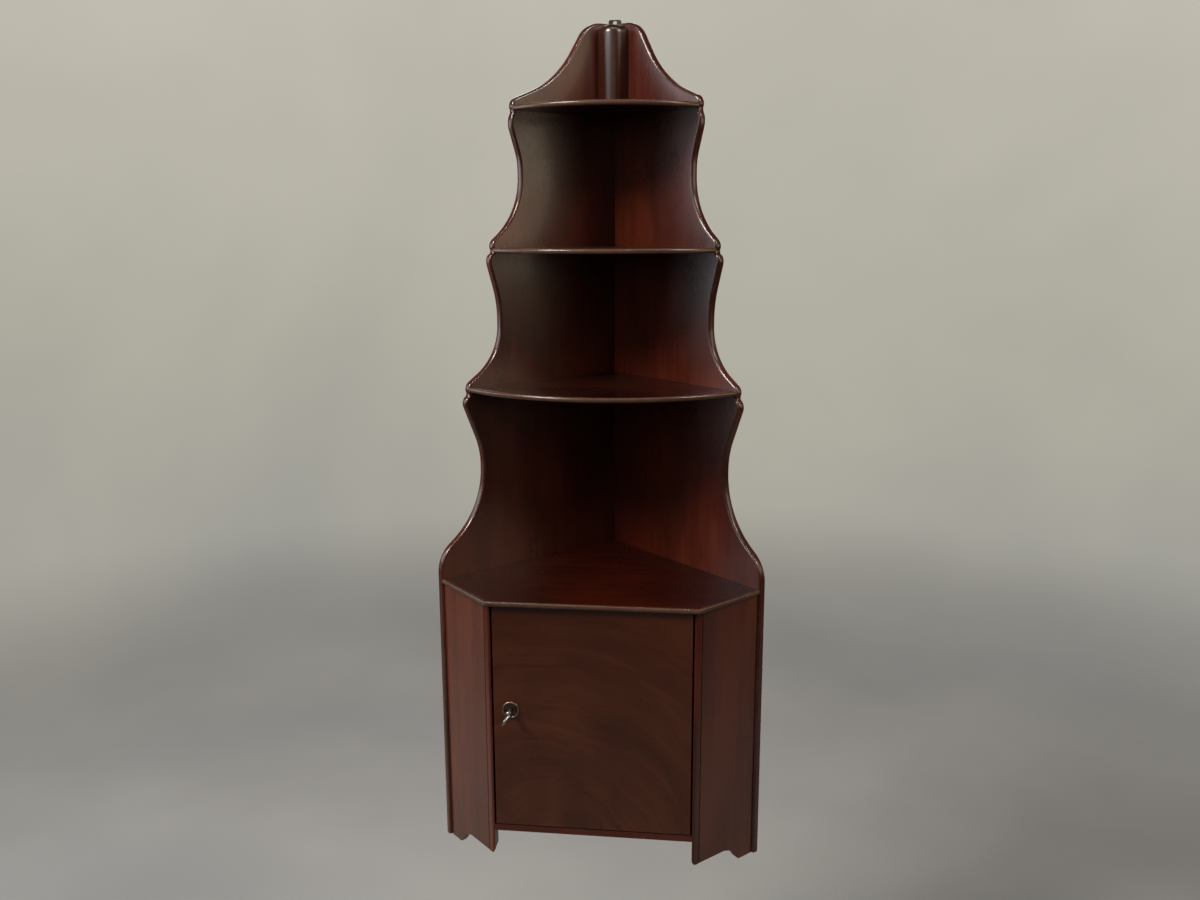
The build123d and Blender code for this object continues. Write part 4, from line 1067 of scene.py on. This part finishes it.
def screws(name, body, node, groups, material):
    """Slotted screws: groups of (heads in millimetres, way the head looks, (shank, head, length))."""
    bm = bmesh.new()
    for number, (heads, way, sizes) in enumerate(groups):
        points = bpy.data.meshes.new(name)
        points.from_pydata([[part * MM for part in head] for head in heads], [], [])
        shank, head, length = (size * MM for size in sizes)
        made = grown(name, screw_tree, points, {
            "Shank Radius": shank, "Head Radius": head, "Length": length, "Slot Width": head * 0.26,
            "Slot Depth": head * 0.3, "Way": way, "Seed": 5 + number, "Material": material})
        bm.from_mesh(made)
        bpy.data.meshes.remove(made)
    bmesh.ops.remove_doubles(bm, verts=bm.verts, dist=0.000001)
    put(dressed(name, smoothed(written(name, bm)), material), body, "steel", node)


def upright_heads(xs, zs, y):
    """Heads at every x and z of a face."""
    return [(x, y, z) for x in xs for z in zs]


for side, word in SIDES:
    heads = [wall_place(side)(reach, z, BOARD_THICK) for reach, z in screw_heads(side)]
    screws(f"{word}_slotted_board_screws", "carcass", f"{word}_board_screws",
           [(heads, (side * DIAGONAL, DIAGONAL, 0), BOARD_SCREW)], iron)
heads = [wall_place(LEFT)(reach, z, BOARD_THICK) for reach, z in corner_screw_heads()]
screws("slotted_corner_screws", "carcass", "corner_screws",
       [(heads, (-DIAGONAL, DIAGONAL, 0), CORNER_SCREW)], iron)
screws("slotted_hanging_screws", "carcass", "hanging_plate_screws",
       [(upright_heads([0], HANGER_SCREW_Z, 1), (0, 1, 0), HANGER_SCREW)], iron)
DOWN, UP = (0, 0, -1), (0, 0, 1)
hinge_x = [PIVOT_X - 12, PIVOT_X - 24]
screws("slotted_carcass_leaf_screws", "carcass", "carcass_leaf_screws",
       [(upright_heads(hinge_x, [z], PIVOT_Y), way, LEAF_SCREW)
        for z, way in ((TOP_UNDER_Z, DOWN), (BOTTOM_Z, UP))], steel)
screws("slotted_door_leaf_screws", "door", "door_leaf_screws",
       [(upright_heads(hinge_x, [z], PIVOT_Y), way, DOOR_LEAF_SCREW)
        for z, way in ((DOOR_TOP_Z, UP), (DOOR_LOW_Z, DOWN))], steel)
lock_heads = upright_heads([-DOOR_HALF + 6, -DOOR_HALF + 36], [KEY_Z - 15, KEY_Z + 23],
                           FRONT_Y + DOOR_THICK)
screws("slotted_lock_screws", "door", "lock_screws", [(lock_heads, (0, 1, 0), LOCK_SCREW)], steel)

# Floor, room, lamps and camera

def pale_floor():
    """A round pale floor well below the feet, which fades into the plain room at its rim."""
    low, steps, radius = -1.45, 96, 3.4
    mesh = bpy.data.meshes.new("pale_floor")
    turns = [2 * pi * step / steps for step in range(steps)]
    ring = [(radius * cos(turn), radius * sin(turn), low) for turn in turns]
    mesh.from_pydata(ring, [], [list(range(steps))])
    made = linked("pale_floor", mesh)
    material, tree, add, shader, leave = new_material("pale_floor")
    place = add("ShaderNodeTexCoord").outputs["Object"]
    cloud = stretched_noise(add, place, (1.3, 1.3, 1.3), 3, 0.5)
    pale = ramp(add, cloud, [(0.3, (0.2, 0.203, 0.205)), (0.7, (0.27, 0.272, 0.27))])
    dim = ramp(add, cloud, [(0.3, (0.12, 0.115, 0.105)), (0.7, (0.16, 0.155, 0.14))])
    seen = add("ShaderNodeLightPath").outputs["Is Camera Ray"]
    speck = stretched_noise(add, place, (240, 240, 240), 3, 0.6)
    fill(tree, shader, {"Base Color": blend_colours(add, seen, dim, pale), "Roughness": 0.9,
                        "Normal": bumped(add, speck, 0.2, 0.001)})
    fade = span(add, plan_distance(add, place), 1.0, 3.3, kind="SMOOTHSTEP")
    clear = add("ShaderNodeBsdfTransparent")
    mixed = add("ShaderNodeMixShader", {0: fade, 1: shader, 2: clear})
    fill(tree, leave, {0: mixed})
    mesh.materials.append(material)


def lamp(name, place, aim, size, power, colour):
    """A soft square lamp at a place, turned to an aim."""
    data = bpy.data.lights.new(name, "AREA")
    data.shape = "RECTANGLE"
    data.size, data.size_y = size
    data.energy = power
    data.color = colour
    made = linked(name, data)
    made.location = place
    made.rotation_euler = (Vector(aim) - Vector(place)).to_track_quat("-Z", "Y").to_euler()
    made.visible_camera = False


def plain_room():
    """A world that looks pale to the camera and lights the piece only faintly."""
    world = bpy.data.worlds.new("plain_room")
    world.use_nodes = True
    tree = world.node_tree
    tree.nodes.clear()
    add = node_tree_tools(tree)
    way = add("ShaderNodeTexCoord").outputs["Generated"]
    rise = add("ShaderNodeSeparateXYZ", {0: way}).outputs["Z"]
    cloud = stretched_noise(add, way, (2.2, 2.2, 2.2), 4, 0.55, 0.3)
    tone = total(add, span(add, rise, -0.6, 0.3), centred(add, cloud, 0.7))
    pale = ramp(add, tone, [(0.0, (0.26, 0.262, 0.262)), (0.5, (0.42, 0.405, 0.345)),
                            (1.0, (0.56, 0.53, 0.46))])
    seen = add("ShaderNodeLightPath").outputs["Is Camera Ray"]
    colour = blend_colours(add, seen, (0.031, 0.03, 0.0285, 1), pale)
    sky = add("ShaderNodeBackground", {"Color": colour, "Strength": 1.0})
    add("ShaderNodeOutputWorld", {0: sky})
    scene.world = world


pale_floor()
plain_room()
# Name: place, aim, size, power and colour
LAMPS = {
    "left_window": ((-1.65, -1.65, 0.4), (0, -0.1, -0.4), (2.3, 1.4), 15, (0.93, 0.96, 1.0)),
    "left_key": ((-1.6, -1.5, 1.4), (0, -0.1, -0.5), (1.0, 0.6), 98, (1.0, 0.93, 0.85)),
    "left_panel": ((-1.6, -0.2, -0.1), (0.1, -0.15, -0.2), (0.8, 0.8), 6.5, (0.9, 0.95, 1.0)),
    "left_floor": ((-1.6, 0.15, -1.44), (-1.6, 0.15, 0), (1.7, 0.6), 0.75, (1.0, 0.87, 0.74)),
    "left_sill": ((-1.6, -0.1, -0.8), (0.15, -0.2, -0.5), (0.7, 0.22), 0.3, (0.86, 0.93, 1.0)),
    "right_panel": ((1.6, -0.47, -0.06), (-0.1, -0.2, -0.25), (0.8, 0.66), 4.0, (1.0, 0.8, 0.56)),
    "right_lamp": ((2.1, -1.0, 1.35), (0, -0.1, -0.5), (0.9, 0.5), 35, (1.0, 0.88, 0.74)),
    "right_floor": ((1.6, -0.22, -1.44), (1.6, -0.22, 0), (1.6, 0.5), 0.3, (1.0, 0.9, 0.8)),
    "front_soft": ((0.0, -2.3, 0.6), (0, -0.1, 0.3), (1.9, 1.5), 4.5, (1.0, 0.94, 0.86)),
    "top_soft": ((0.0, -0.9, 1.7), (0, -0.5, 0), (2.6, 1.0), 2.6, (1.0, 0.96, 0.9)),
    "rear_soft": ((0.0, 2.0, 0.4), (0, 0, -0.5), (2.4, 1.2), 19, (1.0, 0.98, 0.95)),
}
for name, setting in LAMPS.items():
    lamp(name, *setting)
for number in range(7):
    x = -1.5 + 0.5 * number
    lamp(f"top_lamp_{number}", (x, -0.8, 1.5), (x, -0.6, 0), (0.04, 0.04), 3.0, (1.0, 0.97, 0.92))

scene.view_settings.view_transform = "Standard"

# The lens in millimetres, place in metres and turns in radians that the photograph was solved to
LENS, VIEW_PLACE = 32.568, (0.15025, -1.4301, -0.2476)
VIEW_TURN, VIEW_TIP, VIEW_ROLL = 0.1190, -0.2041, 0.0034
camera_data = bpy.data.cameras.new("view")
camera_data.sensor_width = 36
camera_data.lens = LENS
camera = linked("view", camera_data)
turn, tip, roll = VIEW_TURN, VIEW_TIP, VIEW_ROLL
yawed = Matrix(((cos(turn), -sin(turn), 0), (sin(turn), cos(turn), 0), (0, 0, 1)))
pitched = Matrix(((1, 0, 0), (0, cos(tip), -sin(tip)), (0, sin(tip), cos(tip))))
rolled = Matrix(((cos(roll), 0, sin(roll)), (0, 1, 0), (-sin(roll), 0, cos(roll))))
facing = yawed @ pitched @ rolled
right, forward, up = (facing.col[i] for i in range(3))
camera.matrix_world = Matrix((*zip(right, up, -forward, VIEW_PLACE), (0, 0, 0, 1)))
scene.camera = camera
